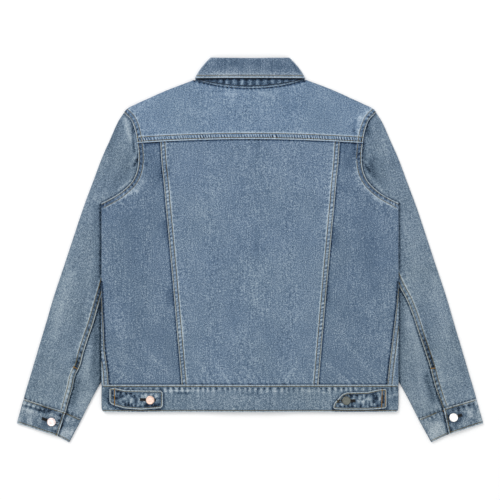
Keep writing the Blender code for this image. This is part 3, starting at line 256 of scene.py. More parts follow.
# The largest folds, as in the frame, with x as the signed place on the jacket
BODY_FOLDS = rows_of(
    Fold,
    (236, 272, 206, 250, 11, 1.6), (-236, 252, -214, 236, 9, 0.8), (-176, 196, -172, 150, 16, 1),
    (-164, 96, -160, 60, 15, 0.9), (-144, -130, -138, -170, 15, 1), (170, 160, 166, 120, 15, 0.9),
    (158, 30, 154, -10, 15, 0.9), (-258, 84, -214, 112, 14, 1), (262, 88, 222, 114, 14, 0.9),
)
SLEEVE_FOLDS = rows_of(
    Fold,
    (-246, 252, -238, 206, 8, 1.6), (246, 246, 240, 210, 8, 1.3), (-240, 176, -262, 156, 9, 1.3),
    (238, 174, 262, 154, 9, 1.3), (-330, 40, -366, -110, 20, 1.3), (338, 30, 376, -120, 20, 1.1),
    (-338, -190, -352, -218, 8, 1.5), (358, -196, 372, -226, 8, 1.5), (-384, -170, -404, -240, 14, 1.1),
    (392, -160, 414, -232, 14, 1),
)
# Smaller creases: above 0 the dye is worn off them, below 0 dye is kept in them with painted shade
BODY_CREASES = rows_of(
    Crease,
    (208, 210, 212, 186, 6, -0.7, -0.6), (210, 162, 217, 130, 3, 0.4, 0.35),
    (228, 124, 262, 92, 3, 0.4, 0.3), (238, 279, 219, 262, 5, 0.8, 0.45),
    (219, 262, 214, 233, 4.5, 0.8, 0.4), (212, 258, 207, 238, 3, -0.6, -0.35),
    (207, 238, 211, 228, 3, -0.5, -0.4), (190, 205, 200, 170, 12, -0.5, -0.22),
    (-212, 206, -210, 172, 5, -0.6, -0.4), (-206, 225, -196, 228, 5, -0.4, -0.35),
    (-206, 211, -184, 213, 4, -0.5, -0.5), (-268, 104, -228, 118, 6, 0.6, 0.5),
    (-226, 118, -212, 140, 4, 0.5, 0.35), (-196, 190, -198, 150, 12, -0.5, -0.2),
    (288, 90, 252, 104, 6, 0.6, 0.4), (-167, 166, -163, 150, 4, -0.4, -0.6),
    (-164, 116, -162, 86, 7, 0.4, 0.35), (-138, -140, -135, -170, 7, 0.4, 0.35),
    (-180, 160, -178, 146, 6, -0.4, -0.35), (-170, 52, -168, 28, 7, -0.4, -0.35),
    (-160, -82, -158, -106, 7, -0.4, -0.35), (166, 152, 165, 126, 7, 0.4, 0.35),
    (157, 76, 156, 54, 7, 0.4, 0.3), (170, 40, 168, 12, 7, -0.4, -0.35),
    (156, -74, 154, -98, 7, -0.4, -0.35), (14, 216, 13, 186, 6, -0.3, -0.18),
    (13, 46, 15, -22, 7, -0.3, -0.18), (-20, -120, 30, -190, 26, -0.5, -0.06),
    (-90, 130, -60, 60, 22, 0.5, 0.06), (80, -30, 96, -120, 24, 0.4, 0.06),
    (-236, 60, -226, -60, 16, -0.6, -0.12), (238, 40, 246, -80, 16, -0.6, -0.12),
    (-262, -120, -252, -220, 10, 0.5, 0.08), (236, -130, 228, -230, 10, 0.5, 0.08),
    (-196, 300, -226, 276, 10, 0.4, 0.1), (120, 320, 90, 280, 12, -0.4, -0.1),
    (-120, 316, -96, 282, 12, -0.4, -0.1), (-46, 314, -34, 308, 6, 0.4, 0.35),
    (-74, 317, -46, 316, 1.6, -0.3, -0.5), (18, 312, 46, 308, 4, 0.4, 0.3),
    (-212, -196, -160, -246, 5, 0.4, 0.16), (-250, -210, -196, -256, 5, 0.4, 0.16),
    (-270, -236, -236, -262, 4, 0.4, 0.2), (196, -190, 246, -250, 5, 0.4, 0.14),
    (150, -226, 190, -260, 5, 0.4, 0.16), (-110, -214, -80, -258, 5, 0.4, 0.16),
    (-66, -230, -44, -262, 4, 0.4, 0.18), (96, -224, 70, -262, 5, 0.4, 0.15),
    (-10, -236, 12, -264, 4, 0.4, 0.15),
)
SLEEVE_CREASES = rows_of(
    Crease,
    (-229, 229, -224, 196, 4, 0.5, 0.6), (-235, 243, -231, 196, 2.6, -0.8, -0.85),
    (-249, 260, -239, 222, 5, 0.6, 0.6), (-265, 256, -278, 214, 15, -0.5, -0.3),
    (-244, 178, -270, 126, 15, -0.5, -0.26), (-238, 139, -262, 120, 3, 0.4, 0.6),
    (-224, 181, -232, 168, 2.6, -0.8, -1), (-232, 182, -238, 172, 3, 0.5, 0.45),
    (227, 212, 229, 176, 4, -0.6, -0.65), (225, 179, 234, 174, 2.2, 0.5, 0.6),
    (230, 170, 238, 158, 3, -0.7, -0.8), (243, 176, 249, 138, 12, -0.5, -0.36),
    (238, 236, 246, 150, 9, -0.3, -0.26), (256, 250, 258, 208, 6, 0, -0.2),
    (262, 176, 270, 134, 6, 0, -0.2), (236, 258, 235, 232, 5, -0.6, -0.55),
    (236, 150, 272, 108, 3, 0.4, 0.4), (256, 236, 268, 190, 12, 0.4, 0.14),
    (-346, -224, -362, -306, 4.5, -0.8, -0.75), (364, -218, 384, -312, 4.5, -0.8, -0.7),
    (-330, -178, -340, -190, 5, 0.5, 0.55), (-346, -214, -352, -232, 5, -0.6, -0.5),
    (-352, -232, -366, -296, 4, 0.5, 0.5), (350, -176, 360, -214, 5, -0.6, -0.5),
    (372, -222, 386, -262, 5, 0.4, 0.35), (-360, -50, -392, -170, 13, 0.5, 0.28),
    (370, -60, 396, -170, 12, 0.4, 0.2), (-300, 40, -318, -40, 10, 0.4, 0.12),
    (306, 60, 330, -30, 12, 0.4, 0.12), (-334, -110, -352, -190, 9, -0.5, -0.2),
    (340, -110, 362, -190, 9, -0.5, -0.2), (-400, -150, -430, -270, 8, -0.4, -0.15),
    (404, -160, 432, -270, 8, -0.4, -0.15), (-276, 196, -300, 120, 10, -0.4, -0.12),
    (276, 190, 304, 116, 10, -0.4, -0.12), (-384, -250, -420, -262, 7, 0.5, 0.12),
    (398, -254, 434, -262, 7, 0.5, 0.12),
)
UNDER_SLEEVE_CREASES = rows_of(
    Crease,
    (-306, -110, -314, -250, 8, -0.4, -0.35), (304, -80, 306, -180, 5, -0.4, -0.3),
    (-316, -196, -330, -250, 7, 0.4, 0.25), (322, -120, 336, -220, 10, 0.4, 0.18),
    (-343, -262, -354, -306, 7, -0.6, -0.55), (352, -252, 366, -300, 7, -0.6, -0.6),
    (-322, -290, -344, -322, 6, 0.4, 0.2), (338, -240, 350, -300, 7, 0.4, 0.2),
)
BAND_CREASES = rows_of(
    Crease,
    (275, -294, 294, -287, 2.5, 0.5, 0.5), (-292, -286, -284, -300, 6, -0.4, -0.5),
    (284, -278, 290, -302, 5, -0.4, -0.45), (-60, -300, 40, -297, 9, 0.2, 0.08),
    (-168, -281, -118, -281, 1.7, 0.4, 0.75), (-150, -285, -122, -286, 2.4, -0.4, -0.6),
    (-112, -280, -66, -282, 2, 0.3, 0.4), (20, -282, 66, -281, 2, 0.3, 0.35),
    (104, -280, 150, -284, 2.2, 0.3, 0.4), (-14, -286, 12, -287, 2.6, -0.3, -0.35),
)
FALL_CREASES = rows_of(
    Crease,
    (-98, 352, -84, 374, 5, -0.4, -0.3), (98, 352, 85, 373, 5, -0.4, -0.3),
    (-40, 364, 36, 366, 6, 0.2, 0.1), (-60, 370, 60, 370, 10, -0.2, -0.22),
    (-100, 350, 100, 350, 4, 0.1, 0.2),
)
CUFF_CREASES = rows_of(
    Crease,
    (-454, -310, -406, -324, 3, -0.5, -0.8), (-450, -318, -420, -327, 4, 0.4, 0.4),
    (-454, -306, -412, -318, 1.8, 0.4, 0.6), (-412, -316, -398, -321, 4, -0.4, -0.6),
    (-384, -336, -390, -356, 4, 0.3, 0.35), (400, -312, 414, -318, 4, -0.4, -0.55),
    (416, -316, 446, -308, 2.4, -0.4, -0.85), (402, -352, 408, -360, 4, 0.3, 0.4),
    (-402, -332, -380, -340, 4, -0.3, -0.25), (454, -312, 416, -322, 4, -0.3, -0.3),
    (-440, -352, -420, -358, 5, -0.3, -0.25), (440, -350, 424, -356, 5, -0.3, -0.2),
)
TAB_CREASES = rows_of(
    Crease,
    (-262, -284, -252, -298, 5, -0.4, -0.5), (-258, -300, -240, -290, 4, 0.5, 0.6),
    (-240, -298, -226, -302, 4, 0.4, 0.4), (-186, -306, -178, -292, 5, -0.3, -0.4),
    (-210, -310, -190, -311, 3.5, -0.3, -0.6), (256, -286, 242, -306, 5, -0.4, -0.5),
    (236, -292, 224, -304, 4, 0.4, 0.5), (180, -300, 174, -308, 4, 0.3, 0.4),
    (206, -290, 196, -288, 3.5, -0.3, -0.5),
)
FRONT_CREASES = rows_of(
    Crease,
    (-252, 84, -196, 104, 9, -0.7, -0.35), (254, 82, 204, 108, 8, -0.7, -0.35),
    (-190, 180, -176, 96, 13, -0.5, 0.2), (186, 170, 170, 80, 14, -0.5, 0.2),
    (-130, 20, -118, -120, 18, -0.4, 0.12), (126, 40, 112, -90, 17, -0.4, 0.12),
    (-226, -60, -214, -190, 15, -0.5, -0.15), (232, -40, 216, -180, 15, -0.5, -0.15),
    (-80, 230, -52, 170, 12, -0.4, -0.12), (78, 226, 56, 160, 12, -0.4, -0.12),
    (-70, -160, -40, -240, 12, -0.4, 0.1), (64, -150, 44, -236, 12, -0.4, 0.1),
)
# Rows of stitches, as distances from the edge of a seam
FELL_ROWS = (1.6, 9.0)
ARMHOLE_ROWS = (2.0, 9.5)
YOKE_ROWS = (3.0, 11.2)
HEM_ROWS = (3.0,)
BUTTON_BAND_ROWS = (4.0,)
STAND_ROWS = (4.0,)
TAB_ROWS = (2.6,)
FALL_ROWS = (5.0,)
BAR_TACKS = rows_of(
    Tack,
    ("upper_sleeve_left", -348.5, -235.2, 155, 10, 1.9),
    ("upper_sleeve_right", 364.8, -236, 5, 9, 1.9),
    ("tab_left", -270, -296, 90, 40, 1.7),
    ("tab_right", 263, -296, 88, 36, 1.6),
    ("tab_right", 270, -295.5, 90, 31, 1.3),
    ("cuff_cloth_left", -367, -326, 20, 6, 1.7),
    ("cuff_cloth_right", 385, -319, 110, 6, 1.7),
)
ELBOW_TACK_Y = {LEFT: BAR_TACKS[0].y, RIGHT: BAR_TACKS[1].y}
BUTTONHOLES = rows_of(
    Slot,
    ("cuff_cloth_left", -399, -341.5, -19, 34),
    ("cuff_cloth_right", 409.4, -333, 17, 29),
    ("tab_left", -203.5, -298.6, -2, 32),
    ("tab_right", 192, -301, 2, 37),
)
TAB_BUTTONS = {LEFT: Point(199.0, -299.0), RIGHT: Point(192.0, -300.0)}
CUFF_BUTTONS = {LEFT: Point(396.0, -343.0), RIGHT: Point(406.0, -334.0)}
FRONT_BUTTON_TOP_Y = 228.0
FRONT_BUTTON_BAND_Y = -296.0
FRONT_BUTTONS = 6
CAP_HEIGHT = 2.6
CAP_SIDES = 56
CAP_PROFILE = rows_of(
    Ring,
    (1.2, 2.4), (2.6, 2.38), (4.4, 2.3), (5.8, 2.28), (6.4, 2.36), (6.9, 2.5), (7.5, 2.55), (8.1, 2.35),
    (8.55, 1.95), (8.75, 1.4), (8.7, 0.9), (8.3, 0.35), (7, 0),
)


# Curves and noise


def smooth(part):
    part = np.clip(part, 0.0, 1.0)
    return part * part * (3 - 2 * part)


def fade(distance, near, far):
    """1 up to the near distance, then down to 0 at the far one."""
    return 1 - smooth((distance - near) / (far - near))


def blend(first, second, part):
    return first + (second - first) * part


def parts(count):
    """Even parts from 0 to 1."""
    return np.linspace(0, 1, count)


def bell(distance, width):
    return np.exp(-((distance / width) ** 2))


def curve(keys, values, at):
    """Smooth curve through the values at ascending keys, held at its ends."""
    keys = np.asarray(keys, float)
    values = np.asarray(values, float)
    at = np.clip(at, keys[0], keys[-1])
    slopes = np.gradient(values, keys)
    low = np.clip(np.searchsorted(keys, at, side="right") - 1, 0, len(keys) - 2)
    step = keys[low + 1] - keys[low]
    part = (at - keys[low]) / step
    rest = 1 - part
    return (
        values[low] * (1 + 2 * part) * rest**2
        + slopes[low] * step * part * rest**2
        + values[low + 1] * part**2 * (3 - 2 * part)
        - slopes[low + 1] * step * part**2 * rest
    )


def at_level(table, y):
    """The half width that a table gives at a level."""
    rows = sorted(table)
    return curve([row.y for row in rows], [row.x for row in rows], y)


def measure(line, x, y):
    """Length along a line through points, and distance in plan from it."""
    line = np.asarray(line, float)
    shape = np.broadcast(x, y).shape
    nearest = np.full(shape, 1e6)
    along = np.zeros(shape)
    passed = 0.0
    for start, end in zip(line[:, :2], line[1:, :2]):
        step = end - start
        length = math.hypot(*step)
        part = np.clip(((x - start[0]) * step[0] + (y - start[1]) * step[1]) / length**2, 0, 1)
        apart = np.hypot(x - start[0] - part * step[0], y - start[1] - part * step[1])
        closer = apart < nearest
        nearest = np.where(closer, apart, nearest)
        along = np.where(closer, passed + part * length, along)
        passed += length
    return along, nearest


def distance_to(table, x, y):
    """Distance in plan to the line of a table of levels."""
    return measure([(level.x, level.y) for level in table], x, y)[1]


def folds(table, x, y, value="rise"):
    """A value of the lines of a table, which dies out beside them and at their ends."""
    total = 0.0
    for fold in table:
        step = np.array([fold.x1 - fold.x0, fold.y1 - fold.y0])
        length = np.hypot(*step)
        along = ((x - fold.x0) * step[0] + (y - fold.y0) * step[1]) / length
        across = ((x - fold.x0) * step[1] - (y - fold.y0) * step[0]) / length
        beyond = np.maximum(np.maximum(-along, along - length), 0)
        total = total + getattr(fold, value) * np.exp(-((across**2 + beyond**2) / fold.width**2))
    return total


KNOTS = 256


def uneven(place, seed):
    """Smooth uneven values between -1 and 1, one to a unit of length."""
    knots = np.random.default_rng(seed).uniform(-1, 1, KNOTS)
    low = np.floor(place).astype(int)
    return blend(knots[low % KNOTS], knots[(low + 1) % KNOTS], smooth(place - low))


def ripple(x, y, size, seed):
    """Smooth uneven values between -1 and 1 over the plan, in patches of a size."""
    knots = np.random.default_rng(seed).uniform(-1, 1, (KNOTS, KNOTS))
    column = np.floor(x / size).astype(int)
    row = np.floor(y / size).astype(int)
    part_x = smooth(x / size - column)
    part_y = smooth(y / size - row)
    low = blend(knots[row % KNOTS, column % KNOTS], knots[row % KNOTS, (column + 1) % KNOTS], part_x)
    above = (row + 1) % KNOTS
    high = blend(knots[above, column % KNOTS], knots[above, (column + 1) % KNOTS], part_x)
    return blend(low, high, part_y)


def puckers(along, pitch, seed):
    """Waves along a seam, uneven in pitch and height."""
    drift = 0.45 * uneven(along / (2.6 * pitch), seed)
    swell = 0.6 + 0.4 * uneven(along / (3.1 * pitch), seed + 1)
    return swell * np.sin(2 * math.pi * (along / pitch + drift))


# Heights of the layers


INNER_EDGE = tuple(Level(y=section.inner_y, x=section.inner_x) for section in SLEEVE)
OUTER_EDGE = tuple(Level(y=section.outer_y, x=section.outer_x) for section in SLEEVE)


def over_sleeve(x, y):
    """1 where the body lies on a sleeve, falling to 0 beside it."""
    outside = (np.abs(x) < at_level(INNER_EDGE, y)) | (y > SLEEVE_START_Y)
    apart = np.where(outside, distance_to(INNER_EDGE, np.abs(x), y), 0)
    return fade(apart, 1.5, 26)


def over_collar(x, y):
    """1 where the fronts lie on the leaves of the collar."""
    low = COLLAR_POINT
    x = np.abs(x) - low.x
    y = y - low.y
    side_x, side_y = COLLAR_SIDE[0].x - low.x, COLLAR_SIDE[0].y - low.y
    front_x, front_y = low.x - COLLAR_FRONT.x, COLLAR_FRONT.y - low.y
    beyond_side = (x * side_y - y * side_x) / np.hypot(side_x, side_y)
    beyond_front = (-x * front_y - y * front_x) / np.hypot(front_x, front_y)
    return fade(np.maximum(beyond_side, beyond_front), 4, 30)


def over_centre(x):
    return fade(np.abs(x), CENTRE_FLAT, CENTRE_FALL)


def highest(*heights):
    """The highest of several heights, with soft passages between them."""
    return sum(height**4 for height in heights) ** 0.25


def front_face(x, y):
    """Height of the outer face of the fronts, which is their lower side."""
    armhole = SEAM_LIFT * fade(distance_to(ARMHOLE, np.abs(x), y), 15, 45)
    collar = COLLAR_LIFT * over_collar(x, y)
    return highest(CENTRE_LIFT * over_centre(x), SLEEVE_LIFT * over_sleeve(x, y), armhole, collar)


def back_face(x, y):
    """Height of the outer face of the back, which is its upper side."""
    height = BACK_TOP + BACK_OVER_CENTRE * over_centre(x) + BACK_OVER_SLEEVE * over_sleeve(x, y)
    return height + BACK_OVER_COLLAR * over_collar(x, y)


def back_with_folds(x, y):
    return back_face(x, y) + folds(BODY_FOLDS, x, y)


def band_under(x):
    return BAND_LIFT * over_centre(x)


def band_upper(x):
    return BAND_TOP + BAND_OVER_CENTRE * over_centre(x)


def beside_body(x, y):
    """How far a point of a sleeve lies outside the edge of the body."""
    return x - np.where(y > ARMPIT_Y, at_level(ARMHOLE, y), HALF_WIDTH)


def sleeve_face(x, y, side):
    """Height of the upper face of a sleeve: flat below the body, and slightly crowned outside."""
    from_body = beside_body(x, y)
    from_edge = at_level(OUTER_EDGE, y) - x
    from_cuff = smooth((y - CROWN_END_Y) / 40)
    crown = SLEEVE_CROWN * smooth((from_body - 10) / CROWN_REACH) * smooth(from_edge / CROWN_REACH)
    ridges = folds(SLEEVE_FOLDS, x * side, y) * smooth((from_body - 9) / 14) * smooth(from_edge / 15)
    return SLEEVE_TOP + (crown + ridges) * from_cuff


# Lines of the seams, with the inside of the piece on the left of the way they run


LINE_STEP = 6.0


def points_of(*axes):
    """The points of a line or a grid from their x, y and, in a grid, z."""
    return np.stack(np.broadcast_arrays(*axes), axis=-1).astype(float)


def line_through(*points):
    return np.array(points, float)


def lengths_along(line):
    """Length along a line up to each of its points."""
    return np.concatenate([[0], np.cumsum(np.linalg.norm(np.diff(line, axis=0), axis=1))])


def level_line(table, first, last):
    """The line of a table between two levels."""
    y = np.linspace(first, last, max(int(abs(last - first) / LINE_STEP), 3))
    return points_of(at_level(table, y), y)


def armhole_points():
    """Places of the armhole from the shoulder down, and the length along it up to each."""
    y, x = np.array(ARMHOLE).T
    return x, y, lengths_along(points_of(x, y))


def armhole_line():
    x, y, length = armhole_points()
    place = parts(60) * length[-1]
    return points_of(curve(length, x, place), curve(length, y, place))[::-1]


def yoke_edge(x):
    """The lower edge of the yoke."""
    return YOKE_CENTRE_Y - YOKE_DROP * (x / YOKE_HALF_WIDTH) ** 2


def yoke_top(x):
    """The neck seam and the two shoulder folds, as one line over x."""
    x = np.abs(x)
    neck = NECK_Y + NECK_RISE * (x / NECK_HALF_WIDTH) ** 2
    rows = sorted(SHOULDER, key=lambda level: level.x)
    shoulder = curve([row.x for row in rows], [row.y for row in rows], x)
    return np.where(x <= NECK_HALF_WIDTH, neck, shoulder)


def yoke_line():
    x = np.linspace(-YOKE_HALF_WIDTH, YOKE_HALF_WIDTH, 76)
    return points_of(x, yoke_edge(x))


def neck_line():
    x = np.linspace(NECK_HALF_WIDTH - 2, -NECK_HALF_WIDTH + 2, 50)
    return points_of(x, yoke_top(x))


def princess_cut(y):
    """The cut edge of the centre panel, which is folded over the side panel."""
    return at_level(PRINCESS, y) + FELL_WIDTH / 2


def princess_line():
    y = np.linspace(BAND_TOP_Y, yoke_edge(PANEL_CORNER_X), 82)
    return points_of(princess_cut(y), y)


def band_line(y, way):
    x = np.linspace(-HALF_WIDTH + 3, HALF_WIDTH - 3, 98)[::way]
    return points_of(x, y)


def flip(line):
    """The line turned over to the other side of the jacket, and run the other way."""
    return line[::-1] * np.array([-1, 1])


def run_along(line, inset, step):
    """Places at even steps along a line, moved to its left by an inset."""
    length = lengths_along(line)
    place = np.arange(step / 2, length[-1], step)
    x = np.interp(place, length, line[:, 0])
    y = np.interp(place, length, line[:, 1])
    way = points_of(np.gradient(x), np.gradient(y))
    way = way / np.linalg.norm(way, axis=1, keepdims=True)
    return points_of(x - way[:, 1] * inset, y + way[:, 0] * inset)


# Relief of the seams


# A seam's dark darkens the cloth beside it: painted shadow of the edge over it, with dye kept there
Seam = namedtuple("Seam", "line rows pitch seed over width raised reach drag ladder hollow dark slant")
SLANT = 0.35
# A felled edge has a raised strip, a hem has a narrow flat one, and a low edge runs in below
FELL = Seam([], (), 0, 0, True, FELL_WIDTH, FELL_RISE, 7.0, 0.5, 0.75, 0.3, 0.15, SLANT)
HEM = FELL._replace(width=3.6, raised=0.0, hollow=0.0)
LOW = Seam([], (), 0, 0, False, 0.0, 0.0, 6.0, 0.55, 0.0, 0.0, 1.1, SLANT)
DIP = 0.3
# Painted shadow of the thread on the cloth beside each row of stitches
ROW_SHADE = 0.8
EDGE_NEAR = 1.0
EDGE_FAR = 2.6


def top_seam(line, rows, pitch, seed, **changes):
    """The folded edge of a piece, which lies over its neighbour."""
    return FELL._replace(line=line, rows=rows, pitch=pitch, seed=seed, **changes)


def hem_seam(line, rows, pitch, seed, **changes):
    """An edge that is folded under and sewn with one row."""
    return HEM._replace(line=line, rows=rows, pitch=pitch, seed=seed, **changes)


def low_seam(line, pitch, seed, **changes):
    """The edge of a piece that runs in below its neighbour."""
    return LOW._replace(line=line, pitch=pitch, seed=seed, **changes)


def seam_form(seam, x, y):
    """Raised strip, puckers, and worn dye with painted shade, of the cloth beside a seam."""
    along, away = measure(seam.line, x, y)
    wave = puckers(along + seam.slant * away, seam.pitch, seam.seed)
    if not seam.over:
        small = seam.drag * wave * np.exp(-away / seam.reach)
        # A low edge gets a dark line: painted shadow of its neighbour's edge, with dye kept under it
        return 0.0 * away, 0.6 * small * smooth(away), small - seam.dark * fade(away, 1.4, 4.6)
    strip = seam.raised * fade(away, seam.width, seam.width + 2)
    inside = smooth(away / 2) * fade(away, seam.width - 0.5, seam.width + 2.5)
    rows = sum(bell(away - row, 0.9) for row in seam.rows)
    beyond = away - seam.width - 1
    small = puckers(along, 1.3 * seam.pitch, seam.seed + 7) * np.exp(-np.maximum(beyond, 0) / seam.reach)
    small = seam.drag * small * smooth(beyond / 2)
    pucker = 0.55 * wave * inside + 0.6 * small - DIP * rows * inside
    on_edge = fade(away, EDGE_NEAR, EDGE_FAR)
    between = bell(away - seam.width / 2, seam.width / 3.4)
    ladder = (seam.ladder * wave - seam.hollow) * between * inside * (1 - on_edge)
    shoulder = 0.95 * bell(away - seam.width - 1.1, 1.6) * (seam.width > 6)
    # Past the strip lies a dark band, painted shadow of the strip with dye kept there
    worn = on_edge * (0.95 + 0.3 * wave) + ladder + shoulder - seam.dark * bell(beyond - 1.4, 1.7) + small
    worn = worn - ROW_SHADE * rows * (1 - on_edge)
    return strip, pucker, worn


# The darkest mark, low enough for painted shadow lines to reach the near black of SEAM_SHADE
DARKEST_WEAR_AND_SHADE = -1.35
SOFT_WEAR = 0.12
WIDE_RIPPLE = 46.0
SMALL_RIPPLE = 17.0


def relief(x, y, side, seams, creases=(), seed=1, shows=1.0, within=1.0):
    """Rise over the frame's form, and worn dye with painted shade, for a cloth with seams and creases."""
    settings = bpy.context.scene.denim_jacket
    strips = 0.0
    puckered = 0.0
    worn = 0.0
    for seam in seams:
        strip, pucker, seam_worn_and_shaded = seam_form(seam, x, y)
        strips = np.maximum(strips, strip)
        puckered = puckered + pucker
        worn = worn + seam_worn_and_shaded
    signed = x * side
    soft = ripple(signed, y, WIDE_RIPPLE, seed) * 0.35 + ripple(signed, y, SMALL_RIPPLE, seed + 1) * 0.14
    rise = puckered * settings.puckers + folds(creases, signed, y) + soft * settings.ripple
    worn = worn + folds(creases, signed, y, "worn") + SOFT_WEAR * soft
    rise = rise * shows + strips * within
    return np.clip(rise, -0.9, 2.5), np.clip(worn * settings.wear_and_shade, DARKEST_WEAR_AND_SHADE, 1)


# Grids and meshes


SHARP_CLOTH = math.radians(55)
SHARP_METAL = math.radians(50)


def spread(length, first, last, between):
    """Places along lines of the given lengths: as listed near both ends, even between them."""
    length = np.asarray(length, float)[..., None]
    first = np.array(first, float)
    last = np.array(last, float)
    part = np.linspace(0, 1, between + 2)[1:-1]
    middle = first[-1] + (length - first[-1] - last[0]) * part
    shape = length.shape[:-1] + (len(first),)
    return np.concatenate([np.broadcast_to(first, shape), middle, length - last], axis=-1)


def outward(grid, last_up):
    """Unit normals of a grid of points, which at its last column point up or down."""
    along = np.gradient(grid, axis=0)
    across = np.gradient(grid, axis=1)
    normal = np.cross(across, along)
    normal = normal / np.maximum(np.linalg.norm(normal, axis=2, keepdims=True), 1e-9)
    return normal if (normal[:, -1, 2].mean() > 0) == last_up else -normal


def inner_places(count):
    """Which rows or columns of a face its coarser inner face keeps, the last one among them."""
    return [*range(0, count - 1, INNER_SKIP), count - 1]


def quads(rows, columns, first):
    corner = (np.arange(rows - 1)[:, None] * columns + np.arange(columns - 1)[None, :]).ravel() + first
    return np.stack([corner, corner + 1, corner + columns + 1, corner + columns], axis=1)


def rim_of(rows, columns):
    """Places round the rim of a grid, each as its row and column."""
    rim = [(0, column) for column in range(columns)]
    rim += [(row, columns - 1) for row in range(1, rows)]
    rim += [(rows - 1, column) for column in range(columns - 2, -1, -1)]
    return rim + [(row, 0) for row in range(rows - 2, 0, -1)]


def add_mesh(name, points, faces, look):
    """A smooth mesh of one material, from points in millimetres."""
    mesh = bpy.data.meshes.new(name)
    mesh.from_pydata((points * MM).tolist(), [], faces)
    mesh.materials.append(look)
    mesh.shade_smooth()
    made = bpy.data.objects.new(name, mesh)
    bpy.context.collection.objects.link(made)
    return made


def add_shell(name, face, look, side=RIGHT, last_up=True, thickness=CLOTH, rise=0.0, worn=0.0):
    """A wall of cloth: a fine outer face with its relief, and a coarser inner face."""
    rows, columns = face.shape[:2]
    normal = outward(face, last_up)
    over = np.array([side, 1, 1])
    at_rows = inner_places(rows)
    at_columns = inner_places(columns)
    outer = (face + normal * np.broadcast_to(rise, face.shape[:2])[..., None]) * over
    inner = (face - normal * thickness)[np.ix_(at_rows, at_columns)] * over
    count = rows * columns
    points = np.concatenate([outer.reshape(-1, 3), inner.reshape(-1, 3)])
    faces = quads(rows, columns, 0).tolist()
    faces += quads(len(at_rows), len(at_columns), count)[:, ::-1].tolist()
    rim = rim_of(rows, columns)
    outer_rim = [row * columns + column for row, column in rim]
    inner_rim = {
        index: count + at_rows.index(row) * len(at_columns) + at_columns.index(column)
        for index, (row, column) in enumerate(rim)
        if row in at_rows and column in at_columns
    }
    stops = [*inner_rim, len(rim)]
    for here, there in zip(stops, stops[1:]):
        fine = [outer_rim[index % len(rim)] for index in range(here, there + 1)]
        faces.append(fine[::-1] + [inner_rim[here], inner_rim[there % len(rim)]])
    made = add_mesh(name, points, faces, look)
    shape = bmesh.new()
    shape.from_mesh(made.data)
    bmesh.ops.recalc_face_normals(shape, faces=shape.faces)
    shape.to_mesh(made.data)
    shape.free()
    # The attribute holds the worn dye and the painted shade at each point of the outer face
    wear_and_shade = made.data.attributes.new("wear_and_shade", "FLOAT", "POINT")
    values = np.zeros(len(points), np.float32)
    values[:count] = np.broadcast_to(np.clip(worn, DARKEST_WEAR_AND_SHADE, 1), face.shape[:2]).ravel()
    wear_and_shade.data.foreach_set("value", values)
    made.data.set_sharp_from_angle(angle=SHARP_CLOTH)
    return made


# Body


STRIP_STEPS = (0, 0.8, 1.6, 2.4, 3.2, 4.2, 5.4, 6.8, 8.2, 9.4, 10.4, 11.5, 12.5, 13.5, 15)
LOW_STEPS = (15, 11.5, 9, 6.8, 5, 3.4, 2.2, 1.2, 0.5, 0)
UNDER_STEPS = np.array((0, 0.8, 1.8, 3, 4.5, 6.5, 9, 12))
FOLD_TURNS = np.linspace(1.0, -1.0, 11)
FOLD_ANGLES = np.radians(np.linspace(72, -72, 9))
BODY_SEED = 20
TURN_STEPS = 6
YOKE_TURN = 70
ARMHOLE_SEED = {LEFT: 13, RIGHT: 12}
NECK_STEP = 0.4


def steps_between(first, last, step):
    return np.linspace(first, last, max(int(abs(last - first) / step), 2))


def steps_through(stops, steps):
    """Levels from stop to stop, each stretch with its own step."""
    stretches = [steps_between(*stretch)[:-1] for stretch in zip(stops, stops[1:], steps)]
    return np.concatenate(stretches + [stops[-1:]])


def make_yoke(look):
    half = np.concatenate([np.arange(0, 232, 1.6), np.arange(232, 251, 1.3), [251.6]])
    top_x = np.concatenate([-half[:0:-1], half])
    share = top_x / half[-1]
    low_y = yoke_edge(share * YOKE_HALF_WIDTH)
    high_y = yoke_top(top_x)
    turn_room = 4.0
    up = spread(high_y - low_y - turn_room, STRIP_STEPS, (0,), 42)
    level_y = low_y[-1] + up[-1]
    y = (low_y[:, None] + up).T
    x = share * at_level(ARMHOLE, level_y)[:, None]
    z = back_with_folds(x, y)
    fold_share = smooth((np.abs(top_x) - NECK_HALF_WIDTH) / 6)
    radius = (back_face(top_x, high_y) - front_face(top_x, high_y)) / 2
    rows = [points_of(x, y, z)]
    for step in range(TURN_STEPS + 1):
        angle = math.radians(YOKE_TURN) * step / TURN_STEPS
        level = high_y[-1] - turn_room * (TURN_STEPS - step) / (TURN_STEPS + 1)
        turned_y = high_y - 1.1 * radius * (1 - math.sin(angle))
        flat_y = high_y - NECK_STEP * (TURN_STEPS - step)
        turned_z = -radius * (1 - math.cos(angle))
        row_y = blend(flat_y, turned_y, fold_share)
        row_x = share * at_level(ARMHOLE, level)
        row_z = back_with_folds(row_x, row_y) + turned_z * fold_share
        rows.append(points_of(row_x, row_y, row_z)[None])
    face = np.concatenate(rows)
    seams = [
        top_seam(
            yoke_line(), YOKE_ROWS, 5.2, 11, width=YOKE_STRIP, reach=5.0, ladder=2.2, hollow=0.0, dark=0.0
        ),
        top_seam(armhole_line(), ARMHOLE_ROWS, 8.0, ARMHOLE_SEED[RIGHT], hollow=0.45),
        top_seam(flip(armhole_line()), ARMHOLE_ROWS, 8.0, ARMHOLE_SEED[LEFT], hollow=0.45),
        low_seam(neck_line(), 8.0, 14, reach=5.0, drag=0.8, dark=1.0),
    ]
    x, y, z = np.moveaxis(face, -1, 0)
    rise, worn = relief(x, y, RIGHT, seams, BODY_CREASES, seed=BODY_SEED)
    return add_shell("yoke", face, look, rise=rise, worn=worn)


